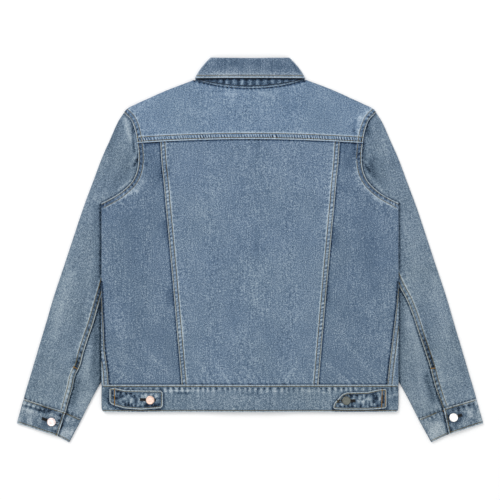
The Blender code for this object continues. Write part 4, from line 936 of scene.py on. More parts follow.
def make_centre_panel(look):
    guess = steps_between(BAND_TOP_Y + GAP, yoke_edge(PANEL_CORNER_X) - GAP, 2.0)
    half = princess_cut(guess)
    mirrored = tuple(reversed(STRIP_STEPS))
    across = spread(2 * half, STRIP_STEPS, mirrored, 84)
    x = across - half[:, None]
    share = ((guess - guess[0]) / (guess[-1] - guess[0]))[:, None]
    y = guess[0] + (yoke_edge(x) - GAP - guess[0]) * share
    z = back_with_folds(x, y)
    seams = [
        top_seam(princess_line(), FELL_ROWS, 7.5, 21, ladder=1.0, hollow=-0.1),
        top_seam(flip(princess_line()), FELL_ROWS, 7.5, 22, ladder=1.0, hollow=-0.1),
        low_seam(yoke_line(), 7.0, 23),
        low_seam(band_line(BAND_TOP_Y, 1), 11.0, 24, reach=12.0, drag=0.5, dark=0.7, slant=0.5),
    ]
    rise, worn = relief(x, y, RIGHT, seams, BODY_CREASES, seed=BODY_SEED)
    return add_shell("centre_back", points_of(x, y, z), look, rise=rise, worn=worn)


def side_fold(extreme, y, on_shoulder=0.0):
    """Height of the middle and the radius of the body's fold, and a quarter turn round it."""
    inside = extreme - 2.8 * (1 - on_shoulder)
    upper = back_face(inside, y)
    lower = front_face(inside, y)
    radius = (upper - lower) / 2
    return (upper + lower) / 2, radius, radius * math.pi / 2


def side_seam_path(y, side, way):
    """Where the side back (way 1) or the front (way -1) starts at the side seam, as a path round
    the side fold and up on to the back."""
    _, radius, quarter = side_fold(HALF_WIDTH, y)
    reach = HALF_WIDTH - at_level(SIDE_SEAM[side], y)
    seam = quarter * smooth(reach / 1.5) + np.maximum(reach - radius, 0)
    return seam + way * blend(SIDE_SEAM_ROOM, SEAM_ROOM, smooth((seam - 1) / 3))


def fold_x(extreme, radius, path, stretch=1.0):
    """Where points stand in x, from their path round the fold of the body and on past it."""
    angle = np.clip(path / radius, -math.pi / 2, math.pi / 2)
    beyond = np.maximum(np.abs(path) - radius * math.pi / 2, 0)
    return extreme - stretch * radius * (1 - np.cos(angle)) - beyond


def fold_z(middle, radius, path):
    return middle + radius * np.sin(np.clip(path / radius, -math.pi / 2, math.pi / 2))


TURNS = np.linspace(0.0, 1.0, 6)
SIDE_SEAM_ROOM = 0.75
SEAM_ROOM = 0.25
LEAST_STEP = 0.05
# The path that stands for every point past the fold
PAST_FOLD = 1e3
SIDE_PANEL_SEED = {LEFT: 30, RIGHT: 50}
# Levels between which the rows stand closer, for the corner of the armhole
SIDE_PANEL_CORNER = (86.0, 142.0)


def side_seam_line(side):
    return level_line(SIDE_SEAM[side], SIDE_SEAM_TOP_Y, BAND_TOP_Y)


def make_side_panel(side, look):
    top = yoke_edge(YOKE_HALF_WIDTH) - GAP
    low = BAND_TOP_Y + GAP
    outer_y = steps_through((low, *SIDE_PANEL_CORNER, top), (2.2, 1.2, 1.9))
    inner_y = low + (yoke_edge(SIDE_CORNER_X) - GAP - low) * (outer_y - low) / (top - low)
    in_armhole = smooth((outer_y - ARMPIT_Y) / 4)
    middle, radius, quarter = side_fold(HALF_WIDTH, outer_y)
    start = blend(side_seam_path(outer_y, side, 1), quarter, in_armhole)
    extreme = blend(HALF_WIDTH, at_level(ARMHOLE, outer_y) + radius, in_armhole)
    columns = (middle, radius, quarter, start, extreme)
    middle, radius, quarter, start, extreme = (column[:, None] for column in columns)
    turn = np.maximum(quarter * TURNS, start + LEAST_STEP * np.arange(len(TURNS)))
    turn_x = fold_x(extreme, radius, turn)
    inner_x = princess_cut(inner_y) + GAP
    last = turn_x[:, -1]
    flat_x = last[:, None] - spread(last - inner_x, STRIP_STEPS, LOW_STEPS, 34)
    x = np.concatenate([turn_x, flat_x[:, 1:]], axis=1)
    y = blend(outer_y[:, None], inner_y[:, None], (x[:, :1] - x) / (x[:, :1] - inner_x[:, None]))
    path = np.concatenate([turn, np.full_like(flat_x[:, 1:], PAST_FOLD)], axis=1)
    ridges = folds(BODY_FOLDS, x * side, y) * smooth((x[:, :1] - x) / 12)
    z = np.where(path < quarter - 0.01, fold_z(middle, radius, path), back_face(x, y) + ridges)
    seed = SIDE_PANEL_SEED[side]
    seams = [
        top_seam(armhole_line(), ARMHOLE_ROWS, 8.0, ARMHOLE_SEED[side], hollow=0.45),
        low_seam(princess_line(), 7.5, seed + 1, drag=0.3, dark=0.9),
        low_seam(yoke_line(), 7.0, seed + 2),
        low_seam(side_seam_line(side), 8.0, seed + 3, dark=1.2),
        low_seam(band_line(BAND_TOP_Y, 1), 11.0, seed + 4, reach=14.0, dark=0.7, slant=1.0),
    ]
    shows = smooth(z - 4)
    within = in_armhole[:, None]
    rise, worn = relief(x, y, side, seams, BODY_CREASES, seed=BODY_SEED, shows=shows, within=within)
    return add_shell("side_back_" + SIDES[side], points_of(x, y, z), look, side, rise=rise, worn=worn)


FRONT_INSET = 5.0
FRONT_CORNER_INSET = 32.0
FRONT_CORNER_LOW = 140.0
FRONT_CORNER_TOP = 214.0
FRONT_ROW_STOPS = (88.0, 150.0, 332.0)
FRONT_SEED = {LEFT: 60, RIGHT: 80}
SHOULDER_ROOM = 1.3
SHOULDER_TURN_Y = 269.0


def make_front(side, look):
    """A front: from its seam on the back, round the side or the shoulder, and flat below."""
    levels = steps_through((BAND_TOP_Y + GAP, *FRONT_ROW_STOPS), (3, 2, 2.4))
    y = np.sort(np.concatenate([levels, [FRONT_NECK_Y, FRONT_NECK_Y + 0.2]]))
    on_shoulder = smooth((y - SHOULDER_TURN_Y) / 5)
    in_armhole = smooth((y - ARMPIT_Y) / 4) * (1 - on_shoulder)
    outline = blend(at_level(ARMHOLE, y), at_level(SHOULDER, y), on_shoulder)
    middle, radius, quarter = side_fold(outline, y, on_shoulder)
    stretch = blend(1.0, SHOULDER_STRETCH, on_shoulder)
    inset = FRONT_INSET * smooth((SHOULDER_Y - y) / 20)
    in_corner = smooth((FRONT_CORNER_TOP - y) / 26) * smooth((y - FRONT_CORNER_LOW) / 26)
    inset = inset + FRONT_CORNER_INSET * in_corner
    extreme = blend(outline, at_level(ARMHOLE, y) - inset + stretch * radius, in_armhole)
    start = blend(side_seam_path(y, side, -1), -quarter, in_armhole)
    start = blend(start, -SHOULDER_ROOM, on_shoulder)
    inner_x = np.where(y < FRONT_NECK_Y + 0.1, -FRONT_LAP, at_level(NECKLINE, y))
    columns = (y, middle, radius, quarter, stretch, extreme, start, inner_x)
    y, middle, radius, quarter, stretch, extreme, start, inner_x = (column[:, None] for column in columns)
    on_back = blend(start, np.minimum(start, quarter), parts(15)[:-1])
    wanted = np.concatenate([on_back, quarter * FOLD_TURNS], axis=1)
    turn = np.minimum(wanted, start - LEAST_STEP * np.arange(wanted.shape[1]))
    turn_x = fold_x(extreme, radius, turn, stretch)
    flat_x = blend(turn_x[:, -1:], inner_x, parts(64)[1:])
    x = np.concatenate([turn_x, flat_x], axis=1)
    path = np.concatenate([turn, np.full_like(flat_x, -PAST_FOLD)], axis=1)
    lap = (CLOTH + GAP) * fade(x, FRONT_LAP + 1, FRONT_LAP + 30) if side == RIGHT else 0.0
    z = np.where(path > quarter, back_face(x, y), fold_z(middle, radius, path))
    z = np.where(path < -quarter + 0.01, front_face(x, y) + lap, z)
    on_back = smooth((start - quarter) / 4)
    strip = FELL_RISE * on_back * fade(start - path, 2, FELL_WIDTH)
    seam = top_seam(
        side_seam_line(side), FELL_ROWS, 8.0, FRONT_SEED[side], raised=0.0, ladder=0.6, hollow=-0.3
    )
    rise, worn = relief(x, y, side, [seam], (), seed=BODY_SEED, shows=smooth(z - 4) * on_back)
    upper = z > middle
    dents = np.minimum(folds(FRONT_CREASES, x * side, y), 0) * (1 - upper)
    worn = np.where(upper, worn * on_back, folds(FRONT_CREASES, x * side, y, "worn"))
    face = points_of(x, y, z)
    name = f"front_{SIDES[side]}_cloth"
    return add_shell(name, face, look, side, last_up=False, rise=rise + strip + dents, worn=worn)


def make_button_band(look):
    y = steps_between(BAND_TOP_Y + GAP, FRONT_NECK_Y - 2, 3)[:, None]
    x = np.linspace(-FRONT_LAP, FRONT_LAP, 21)[None, :]
    rows = bell(np.abs(x) - FRONT_LAP + 4, 1.2) + 0 * y
    worn = 0.5 * fade(FRONT_LAP - np.abs(x), 0.5, 2.5) + 0.35 * puckers(y, 9.0, 91) * rows
    rise = -DIP * rows
    face = points_of(x, y, BAND_LIFT)
    return add_shell("button_band", face, look, last_up=False, rise=rise, worn=worn)


# Waistband and tabs


TAB_SHADE_DROP = 2.4
TAB_MIDDLE_X = 225.0


def make_waistband(look):
    """One strip that starts at the left end, goes round the back and ends over its start."""
    y = steps_between(BAND_TOP_Y, HEM_Y, 1.6)[:, None]
    extreme = at_level(BAND_SIDE, y)
    upper = band_upper(extreme)
    lower = band_under(extreme)
    radius = (upper - lower) / 2
    middle = (upper + lower) / 2
    flat_end = extreme - radius
    angles = np.radians(np.linspace(-90, 90, 11))[None, :]
    side_x = flat_end + radius * np.cos(angles)
    side_z = middle + radius * np.sin(angles)
    under_x = flat_end - (flat_end + FRONT_LAP) * parts(64)[None, 1:]
    under_z = band_under(under_x)
    lap_z = under_z + (DOUBLE_CLOTH + GAP) * fade(under_x, FRONT_LAP + 2, FRONT_LAP + 30)
    half_top = np.linspace(1, 0, 118)[None, 1:-1] * flat_end
    top_x = np.concatenate([-half_top, 0 * flat_end, half_top[:, ::-1]], axis=1)
    top_z = band_upper(top_x)
    x = np.concatenate([-under_x[:, ::-1], -side_x, top_x, side_x[:, ::-1], under_x], axis=1)
    z = np.concatenate([under_z[:, ::-1], side_z, top_z, side_z[:, ::-1], lap_z], axis=1)
    y = y + 0 * x
    seams = [
        hem_seam(band_line(BAND_TOP_Y, -1), HEM_ROWS, 8.5, 95, reach=6.5, drag=1.9, ladder=0.3, dark=0.3),
        hem_seam(band_line(HEM_Y, 1), HEM_ROWS, 9.0, 96, reach=5.0, drag=0.3, ladder=0.2, dark=0.0),
    ]
    under_tabs = fade(np.abs(np.abs(x) - TAB_MIDDLE_X), 52, 62)
    shows = smooth((z - 4) / 2) * (1 - 0.9 * under_tabs)
    rise, worn = relief(x, y, RIGHT, seams, BAND_CREASES, seed=97, shows=shows)
    # Painted shadow of each tab on the waistband, set lower by TAB_SHADE_DROP
    for side in (LEFT, RIGHT):
        beside_tab = measure(tab_outline(side) * np.array([side, 1]), x, y + TAB_SHADE_DROP)[1]
        worn = worn - 0.9 * fade(beside_tab, 1.6, 6.0) * (z > BAND_TOP - 1)
    face = points_of(x, y, z)
    name = "waistband_cloth"
    return add_shell(name, face, look, last_up=False, thickness=DOUBLE_CLOTH, rise=rise, worn=worn)


def tab_outline(side):
    """The edge of a tab as a closed line, with its inside on the left."""
    table = sorted(TABS[side])
    x = [level.x for level in table]
    top = [level.top for level in table]
    hem = [level.hem for level in table]
    return points_of(x[::-1] + x + x[-1:], top[::-1] + hem + top[-1:])


def make_tab(side, look):
    table = sorted(TABS[side])
    keys = [level.x for level in table]
    x = steps_between(keys[-1], keys[0], 1.3)
    top = np.interp(x, keys, [level.top for level in table])
    hem = np.interp(x, keys, [level.hem for level in table])
    part = parts(30)[:, None]
    y = blend(hem, top, part)
    z = band_upper(x) + GAP + TAB_CLOTH + 0 * y
    x = x + 0 * y
    seam = hem_seam(
        tab_outline(side), TAB_ROWS, 7.0, 101 + side, width=3.2, reach=9.0, drag=1.1, ladder=0.0, dark=0.5
    )
    rise, worn = relief(x, y, side, [seam], TAB_CREASES, seed=106)
    inside = smooth((measure(tab_outline(side), x, y)[1] - 3) / 3)
    worn = worn + (ripple(x, y, 5.5, 107 + side) - 0.3) * inside
    face = points_of(x, y, z)
    return add_shell("tab_" + SIDES[side], face, look, side, thickness=TAB_CLOTH, rise=rise, worn=worn)


# Collar


def collar_fold(side_points, front_ends, upper, lower):
    """Columns of points round the side fold of the collar, and where they leave it at each end."""
    radius = (upper - lower) / 2
    middle = (upper + lower) / 2
    to_back = np.array([[-1.0, 0.0]]) / FOLD_NORMAL[0]
    step = front_ends - side_points
    step = step / np.linalg.norm(step, axis=1, keepdims=True)
    to_front = step / -(step @ FOLD_NORMAL)[:, None]
    columns = []
    for angle in FOLD_ANGLES:
        away = to_back if angle > 0 else to_front
        place = side_points + away * (radius * (1 - math.cos(angle)))[:, None]
        height = middle + radius * math.sin(angle)
        columns.append(np.concatenate([place, height[:, None]], axis=1))
    back = side_points + to_back * radius[:, None]
    front = side_points + to_front * radius[:, None]
    return np.stack(columns, axis=1), back, front


def fall_edge_line(half_width):
    return points_of(np.linspace(-half_width, half_width, 40), FALL_EDGE_Y)


def collar_face(*stretches):
    """The whole face of a collar piece from the stretches of its right half."""
    right = np.concatenate(stretches, axis=1)
    left = right[:, :0:-1] * np.array([-1, 1, 1])
    return np.concatenate([left, right], axis=1)


NECK_COLUMNS = parts(56)[None, :]
ROLL_HALF_WIDTH = 80.0


def roll_dip(x):
    """How far the top of the collar hangs down in the middle of the back."""
    return ROLL_DIP * (1 - (x / ROLL_HALF_WIDTH) ** 2)


def make_fall(look):
    length = ROLL_Y - FALL_EDGE_Y
    angles = np.radians(np.linspace(0, 88, 9))
    flat = np.linspace(0, 0.86, 24)
    share = np.concatenate([flat, 1 - ROLL_RADIUS * (1 - np.sin(angles)) / length])
    drop = np.concatenate([np.zeros(len(flat)), ROLL_RADIUS * (1 - np.cos(angles))])
    side_y = FALL_EDGE_Y + length * share
    side_points = points_of(at_level(COLLAR_SIDE, side_y), side_y)
    upper = back_face(side_points[:, 0], side_points[:, 1]) + GAP + DOUBLE_CLOTH
    ends = blend(np.array(COLLAR_POINT), np.array(COLLAR_FRONT), share[:, None])
    fold, back, front = collar_fold(side_points, ends, upper - drop, 0 * upper)
    back_x = back[:, :1] * NECK_COLUMNS
    back_y = side_y[:, None] - np.maximum((share**2)[:, None] * roll_dip(back_x), 0)
    back_z = back_face(back_x, back_y) + GAP + DOUBLE_CLOTH - drop[:, None]
    leaf = blend(front[:, None, :], ends[:, None, :], parts(30)[None, :, None])
    flat_leaf = points_of(leaf[..., 0], leaf[..., 1], 0)
    face = collar_face(points_of(back_x, back_y, back_z), fold, flat_leaf)
    x, y, z = np.moveaxis(face, -1, 0)
    edge = fall_edge_line(109)
    seam = hem_seam(edge, FALL_ROWS, 9.0, 111, width=5.5, reach=6.0, drag=0.1, ladder=0.15, dark=-0.15)
    shows = smooth(z - 5)
    rise, worn = relief(x, y, RIGHT, [seam], FALL_CREASES, seed=112, shows=shows)
    from_side = distance_to(COLLAR_SIDE, np.abs(x), y)
    worn = worn + 0.7 * fade(np.minimum(from_side, ROLL_Y - y), 0.8, 2.8)
    patches = 0.2 * ripple(x, y, 15.0, 113) + 0.15 * fade(y - FALL_EDGE_Y, 5, 20)
    worn = worn + patches
    return add_shell("fall", face, look, last_up=False, thickness=DOUBLE_CLOTH, rise=rise, worn=worn)


def neckline_at(part):
    """A point just above the neckline of the fronts, from the shoulder to the centre."""
    y, x = np.array(sorted(NECKLINE, reverse=True)).T
    length = lengths_along(points_of(x, y))
    share = length / length[-1]
    return points_of(curve(share, x, part) - 2 * GAP, curve(share, y, part) + GAP)


LEAF_START = 0.04
LEAF_BLEND = 0.25
# The column of the leaf that gives the fold its way to the front
LEAF_WAY = 10


def make_stand(look):
    share = parts(28)
    side_points = blend(np.array(STAND_SIDE_LOW), np.array(STAND_SIDE_HIGH), share[:, None])
    upper = back_face(side_points[:, 0], side_points[:, 1])
    lower = front_face(side_points[:, 0], side_points[:, 1])
    part = np.linspace(LEAF_START, 1, 40)
    neckline = neckline_at(part)
    roll_line = blend(side_points[-1], np.array(STAND_FRONT), part[:, None])
    leaf = blend(neckline[None], roll_line[None], share[:, None, None])
    fold, back, front = collar_fold(side_points, leaf[:, LEAF_WAY], upper, lower)
    start = np.clip((part - LEAF_START) / LEAF_BLEND, 0, 1)[None, :, None]
    leaf = blend(front[:, None, :], leaf, start)
    back_x = back[:, :1] * NECK_COLUMNS
    back_y = blend(yoke_top(back_x) + GAP, STAND_ROLL_Y - roll_dip(back_x), share[:, None])
    back_y = blend(back_y, back[:, 1:], (back_x / back[:, :1]) ** 8)
    back_z = back_face(back_x, back_y)
    leaf_z = front_face(leaf[..., 0], leaf[..., 1])
    flat_leaf = points_of(leaf[..., 0], leaf[..., 1], leaf_z)
    face = collar_face(points_of(back_x, back_y, back_z), fold, flat_leaf)
    x, y, z = np.moveaxis(face, -1, 0)
    seam = hem_seam(neck_line()[::-1], STAND_ROWS, 16.0, 121, width=5.0, drag=0.0, ladder=0.1)
    shows = smooth(z - 5) * fade(y, FALL_EDGE_Y - 4, FALL_EDGE_Y)
    rise, worn = relief(x, y, RIGHT, [seam], (), seed=123, shows=shows)
    from_neck = measure(neck_line(), x, y)[1]
    blotch = 1.1 * puckers(x, 15.0, 124) * (0.7 + 0.3 * ripple(x, y, 9.0, 125)) - 0.1
    blotch = blotch * smooth((from_neck - 4) / 2)
    # Painted shadow under the fall's edge, along the top of the stand
    worn = worn * 0.8 + blotch - 1.6 * fade(FALL_EDGE_Y - y, 1.4, 6)
    return add_shell("stand", face, look, last_up=False, rise=rise, worn=worn)


# Sleeves and cuffs


def armhole_at(part, tuck):
    """A point along the sleeve's part of the armhole, 0 at the shoulder, tucked in below the body."""
    x, y, length = armhole_points()
    place = part * np.interp(-SLEEVE_START_Y, -y, length)
    here_x = curve(length, x, place)
    here_y = curve(length, y, place)
    step_x = curve(length, x, place + 2) - curve(length, x, np.maximum(place, 2) - 2)
    step_y = curve(length, y, place + 2) - curve(length, y, np.maximum(place, 2) - 2)
    step = np.hypot(step_x, step_y)
    inset = tuck(here_y)
    return points_of(here_x + inset * step_y / step, here_y - inset * step_x / step)


TUCK_START_Y = 206.0
UPPER_TUCK = 9.0
UPPER_CORNER_TUCK = 26.0
UNDER_TUCK = 13.0
UNDER_CORNER_TUCK = 22.0


def corner_tuck(y):
    """How the armhole end of a sleeve turns in towards the hidden corner of its inner fold."""
    return np.clip((TUCK_START_Y - y) / (TUCK_START_Y - SLEEVE_START_Y), 0, 1) ** 2


def upper_tuck(y):
    """How far the top of a sleeve runs in under the edge of the back."""
    return -1.0 + UPPER_TUCK * smooth((266 - y) / 14) + UPPER_CORNER_TUCK * corner_tuck(y)


def under_tuck(y):
    """How far the underside of a sleeve runs in under the edge of a front."""
    return -1.0 + UNDER_TUCK * smooth((262 - y) / 18) + UNDER_CORNER_TUCK * corner_tuck(y)


def section_point(column, row):
    """A point of every sleeve section, at whole or part rows of the table."""
    rows = np.arange(len(SLEEVE))
    x = curve(rows, [getattr(section, column + "_x") for section in SLEEVE], row)
    y = curve(rows, [getattr(section, column + "_y") for section in SLEEVE], row)
    return points_of(x, y)


def sleeve_plan(row, part, tuck):
    """Across a sleeve from the outer fold to the inner one, starting from the armhole's curve."""
    straight = blend(section_point("outer", row), section_point("inner", row), part[..., None])
    chord = blend(section_point("outer", 0.0), section_point("inner", 0.0), part[..., None])
    weight = np.clip(1 - row / ARMHOLE_SECTIONS, 0, 1)[..., None]
    return straight + weight * (armhole_at(part, tuck) - chord)


def section_length(row):
    return np.linalg.norm(section_point("inner", row) - section_point("outer", row), axis=-1)


def length_round(row):
    """Length of the path over the top of a sleeve, from the outer fold to the inner one."""
    return section_length(row) - 2 * SLEEVE_RADIUS + math.pi * SLEEVE_RADIUS


def elbow_share(row, side):
    """Where the elbow seam crosses the sections: 0 at the outer fold, 1 at the inner one."""
    part = np.linspace(0.3, 1.0, 141)
    place = sleeve_plan(row[:, None], part + 0 * row[:, None], upper_tuck)
    beyond = at_level(ELBOW[side], place[..., 1]) - place[..., 0]
    after = np.argmax(beyond > 0, axis=1)
    index = np.arange(len(row))
    crossed = beyond[index, after]
    rest = crossed / (crossed - beyond[index, after - 1])
    return np.where(after > 0, part[after] - rest * (part[1] - part[0]), ELBOW_BELOW)


def sleeve_ring(row, path, side):
    """Points round a sleeve: the path is 0 at the outer fold, grows over the top to the inner
    fold and on below, and is negative below the outer fold."""
    length = section_length(row)
    around = length_round(row)
    radius = SLEEVE_RADIUS
    place = np.mod(path, 2 * around)
    on_top = place <= around
    from_outer = np.where(on_top, place, 2 * around - place)
    from_inner = around - from_outer
    from_inner_x = fold_x(length, radius, from_inner)
    reach = np.where(from_inner < SLEEVE_QUARTER, from_inner_x, -fold_x(0.0, radius, from_outer))
    from_fold = np.minimum(from_outer, from_inner)
    part = reach / length
    plan = np.where(on_top[..., None], sleeve_plan(row, part, upper_tuck), sleeve_plan(row, part, under_tuck))
    turned = fold_z(0.0, radius, from_fold)
    top = sleeve_face(plan[..., 0], plan[..., 1], side)
    top = np.where(from_fold < SLEEVE_QUARTER, radius + turned, top)
    z = np.where(on_top, top, radius - turned)
    return np.concatenate([plan, z[..., None]], axis=-1)


SLEEVE_SAMPLES = 400
SLEEVE_ROWS = 250


def sleeve_rows():
    """Rows of the section table about one pucker step apart along the sleeve."""
    rows = np.linspace(0, len(SLEEVE) - 1, SLEEVE_SAMPLES)
    middle = (section_point("outer", rows) + section_point("inner", rows)) / 2
    length = lengths_along(middle)
    return np.interp(np.linspace(0, length[-1], SLEEVE_ROWS), length, rows)


def elbow_line(side):
    return level_line(ELBOW[side], ELBOW_TOP_Y, ELBOW[LEFT][0].y)


def cuff_seam_line(side):
    cuff = CUFFS[side]
    return line_through(cuff.outer_top, cuff.flap_top, cuff.inner_top)


# Gain of the wide painted shadow of the body's edge on each sleeve
SHADE_BESIDE_BODY = {LEFT: 0.4, RIGHT: 0.1}
ELBOW_PALE = 0.4
ELBOW_SHADE = 0.45
ELBOW_SHADE_END = {LEFT: -70.0, RIGHT: -185.0}
UPPER_SLEEVE_SEED = {LEFT: 140, RIGHT: 160}
UNDER_SLEEVE_SEED = {LEFT: 170, RIGHT: 190}


def sleeve_relief(face, path, around, side, seams, creases, seed, within=1.0):
    x, y, _ = np.moveaxis(face, -1, 0)
    beside = beside_body(x, y)
    on_top = (path > 0) & (path < around)
    outside = smooth((beside - 2) / 6)
    from_fold = np.minimum(np.abs(path), np.abs(around - path))
    shows = on_top * outside * smooth(from_fold / 6)
    seams = seams + [
        low_seam(armhole_line(), 9.0, seed + 5, reach=8.0, drag=0.35, dark=0.8),
        low_seam(cuff_seam_line(side), 8.0, seed + 6, reach=5.0, drag=0.9, dark=0.5),
    ]
    rise, worn = relief(x, y, side, seams, creases, seed=130, shows=shows, within=within * on_top)
    # Painted shadow of the body's edge on the sleeve next to it
    shaded = 0.8 * fade(beside, 1.5, 7) + SHADE_BESIDE_BODY[side] * fade(beside, 4, 24)
    return rise, np.clip(worn - shaded * (y < ARMPIT_Y), DARKEST_WEAR_AND_SHADE, 1) * on_top


def make_upper_sleeve(side, look):
    row = sleeve_rows()
    around = length_round(row)
    start = elbow_share(row, side) * around - HALF_GAP
    on_top = start[:, None] - spread(start - SLEEVE_QUARTER - 0.2, STRIP_STEPS + (18, 22), (0,), 44)
    turn = np.broadcast_to(SLEEVE_QUARTER * FOLD_TURNS, (len(row), len(FOLD_TURNS)))
    below = FRONT_SEAM_SHARE * around[:, None] - HALF_GAP
    below = -blend(SLEEVE_QUARTER, below, parts(22)[1:])
    path = np.concatenate([on_top, turn, below], axis=1)
    face = sleeve_ring(row[:, None] + 0 * path, path, side)
    bow = CUFF_SEAM_BOW[side] * smooth((row - 12) / 2)[:, None]
    face[..., 1] += bow * np.clip(path / start[:, None], 0, 1)
    within = smooth((beside_body(face[..., 0], face[..., 1]) - 5) / 6) * smooth(row - 6)[:, None]
    seed = UPPER_SLEEVE_SEED[side]
    seams = [top_seam(elbow_line(side), ARMHOLE_ROWS, 9.5, seed, ladder=0.9, hollow=0.1, dark=0.0)]
    rise, worn = sleeve_relief(face, path, around[:, None], side, seams, SLEEVE_CREASES, seed, within)
    y = face[..., 1]
    away = measure(elbow_line(side), face[..., 0], y)[1]
    strip = smooth((away - 2) / 2) * fade(away, 8, 12) * (path > 0)
    below = fade(y, ELBOW_TACK_Y[side] - 6, ELBOW_TACK_Y[side])
    shaded = ELBOW_SHADE * (1 - below) * fade(y, ELBOW_SHADE_END[side], ELBOW_SHADE_END[side] + 50)
    worn = worn + strip * (ELBOW_PALE * below - shaded)
    return add_shell("upper_sleeve_" + SIDES[side], face, look, side, last_up=False, rise=rise, worn=worn)


def make_under_sleeve(side, look):
    row = sleeve_rows()
    around = length_round(row)
    start = elbow_share(row, side) * around + HALF_GAP
    inner = np.maximum((around - SLEEVE_QUARTER) - start, 0)
    first = start[:, None] + np.minimum(UNDER_STEPS, inner[:, None])
    last = np.maximum(around - SLEEVE_QUARTER, first[:, -1])
    on_top = blend(first[:, -1:], last[:, None], parts(26)[1:])
    turn = around[:, None] - SLEEVE_QUARTER * FOLD_TURNS[1:]
    end = (2 - FRONT_SEAM_SHARE) * around - HALF_GAP
    below = blend((around + SLEEVE_QUARTER)[:, None], end[:, None], parts(14)[1:])
    path = np.concatenate([first, on_top, turn, below], axis=1)
    for column in range(1, path.shape[1]):
        path[:, column] = np.maximum(path[:, column], path[:, column - 1] + LEAST_STEP)
    face = sleeve_ring(row[:, None] + 0 * path, path, side)
    seed = UNDER_SLEEVE_SEED[side]
    seams = [low_seam(elbow_line(side), 8.0, seed, drag=0.3, dark=1.1)]
    rise, worn = sleeve_relief(face, path, around[:, None], side, seams, UNDER_SLEEVE_CREASES, seed)
    return add_shell("under_sleeve_" + SIDES[side], face, look, side, last_up=False, rise=rise, worn=worn)


def cuff_leg(start, end, distances, height):
    """Points from one line across the cuff towards another, at distances from the first."""
    step = end - start
    length = np.linalg.norm(step, axis=-1, keepdims=True)
    place = start[:, None, :] + step[:, None, :] / length[:, None, :] * distances[..., None]
    return np.concatenate([place, np.broadcast_to(height, distances.shape)[..., None]], axis=-1)


def under_cuff_line(side):
    """The top seam of the part of a cuff that lies below its flap."""
    return line_through(CUFFS[side].flap_top, CUFFS[side].inner_top)


CUFF_SEED = {LEFT: 200, RIGHT: 220}
CUFF_BLOTCH = 0.5
CUFF_WORN_X = 418.0


def make_cuff(side, look):
    """One strip: the flap on the top, round the outer fold, below, and up again under the flap."""
    cuff = CUFFS[side]
    down = parts(30)[:, None]
    across = (cuff.outer_top.x - cuff.flap_top.x) / (cuff.outer_top.x - cuff.inner_top.x)
    below_top = blend(np.array(cuff.outer_top), np.array(cuff.inner_top), across)
    outer, flap, inner, below = [
        blend(np.array(start), np.array(end), down)
        for start, end in (
            (cuff.outer_top, cuff.outer_hem),
            (cuff.flap_top, cuff.flap_hem),
            (cuff.inner_top, cuff.inner_hem),
            (below_top, cuff.flap_hem),
        )
    ]
    flap_length, below_length, inner_length = [
        np.linalg.norm(end - start, axis=1) for start, end in ((outer, flap), (outer, below), (inner, below))
    ]
    radius = CUFF_TOP / 2
    turn_in = np.broadcast_to(radius * (1 - np.cos(FOLD_ANGLES)), (len(down), len(FOLD_ANGLES)))
    turn_up = radius + radius * np.sin(FOLD_ANGLES)
    top_distance = spread(flap_length - radius, (0, 0.8, 1.8, 3, 4.5), (0,), 42)
    flap_height = CUFF_TOP + CUFF_LAP_RISE * fade(top_distance, CUFF_LAP + 5, CUFF_LAP + 40)
    lap_distance = radius + spread(inner_length + CUFF_LAP - radius, (0,), (0,), 22)
    legs = [
        cuff_leg(outer, flap, flap_length[:, None] - top_distance, flap_height),
        cuff_leg(outer, flap, turn_in, turn_up),
        cuff_leg(outer, below, radius + (below_length[:, None] - radius) * parts(20), 0.0),
        cuff_leg(inner, below, radius + (inner_length[:, None] - radius) * np.linspace(0.9, 0, 10), 0.0),
        cuff_leg(inner, below, turn_in, turn_up[::-1]),
        cuff_leg(inner, below, lap_distance, CUFF_TOP),
    ]
    face = np.concatenate(legs, axis=1)
    x, y, z = np.moveaxis(face, -1, 0)
    column = np.arange(face.shape[1])
    on_flap = column < legs[0].shape[1] + legs[1].shape[1]
    peeks = column >= face.shape[1] - legs[-1].shape[1]
    seed = CUFF_SEED[side]
    top = line_through(cuff.outer_top, cuff.flap_top)
    hem = line_through(cuff.flap_hem, cuff.outer_hem)
    edge = line_through(cuff.flap_top, cuff.flap_hem)
    seams = [
        hem_seam(top, HEM_ROWS, 8.0, seed, drag=1.4, ladder=0.3, dark=0.2),
        hem_seam(hem, HEM_ROWS, 8.0, seed + 1, reach=4.0, drag=0.4, ladder=0.3, dark=0.1),
        hem_seam(edge, HEM_ROWS, 9.0, seed + 2, drag=1.3, ladder=0.2, dark=0.3),
    ]
    shows = on_flap * smooth((z - 3) / 2)
    rise, worn = relief(x, y, side, seams, CUFF_CREASES, seed=216, shows=shows)
    under_seam = hem_seam(under_cuff_line(side), HEM_ROWS, 8.0, seed + 3, reach=6.0, drag=1.3, hollow=0.3)
    # The part under the flap gets a painted shadow of the flap's edge
    under_worn_and_shaded = seam_form(under_seam, x, y)[2] - 1.3 * fade(measure(edge, x, y)[1], 1.5, 6)
    button = CUFF_BUTTONS[side]
    from_button = np.hypot(x - side * button.x, y - button.y)
    blotch = CUFF_BLOTCH * ripple(x, y, 10.0, seed + 4) + 0.4 * smooth((np.abs(x) - CUFF_WORN_X) / 26)
    worn = worn + blotch - 0.35 * fade(from_button, 12, 22)
    under_worn_and_shaded = under_worn_and_shaded + 0.3 + CUFF_BLOTCH * ripple(x, y, 14.0, seed + 5)
    worn = np.where(on_flap, worn, under_worn_and_shaded * peeks)
    name = "cuff_cloth_" + SIDES[side]
    return add_shell(name, face, look, side, thickness=DOUBLE_CLOTH, rise=rise, worn=worn)


# Thread


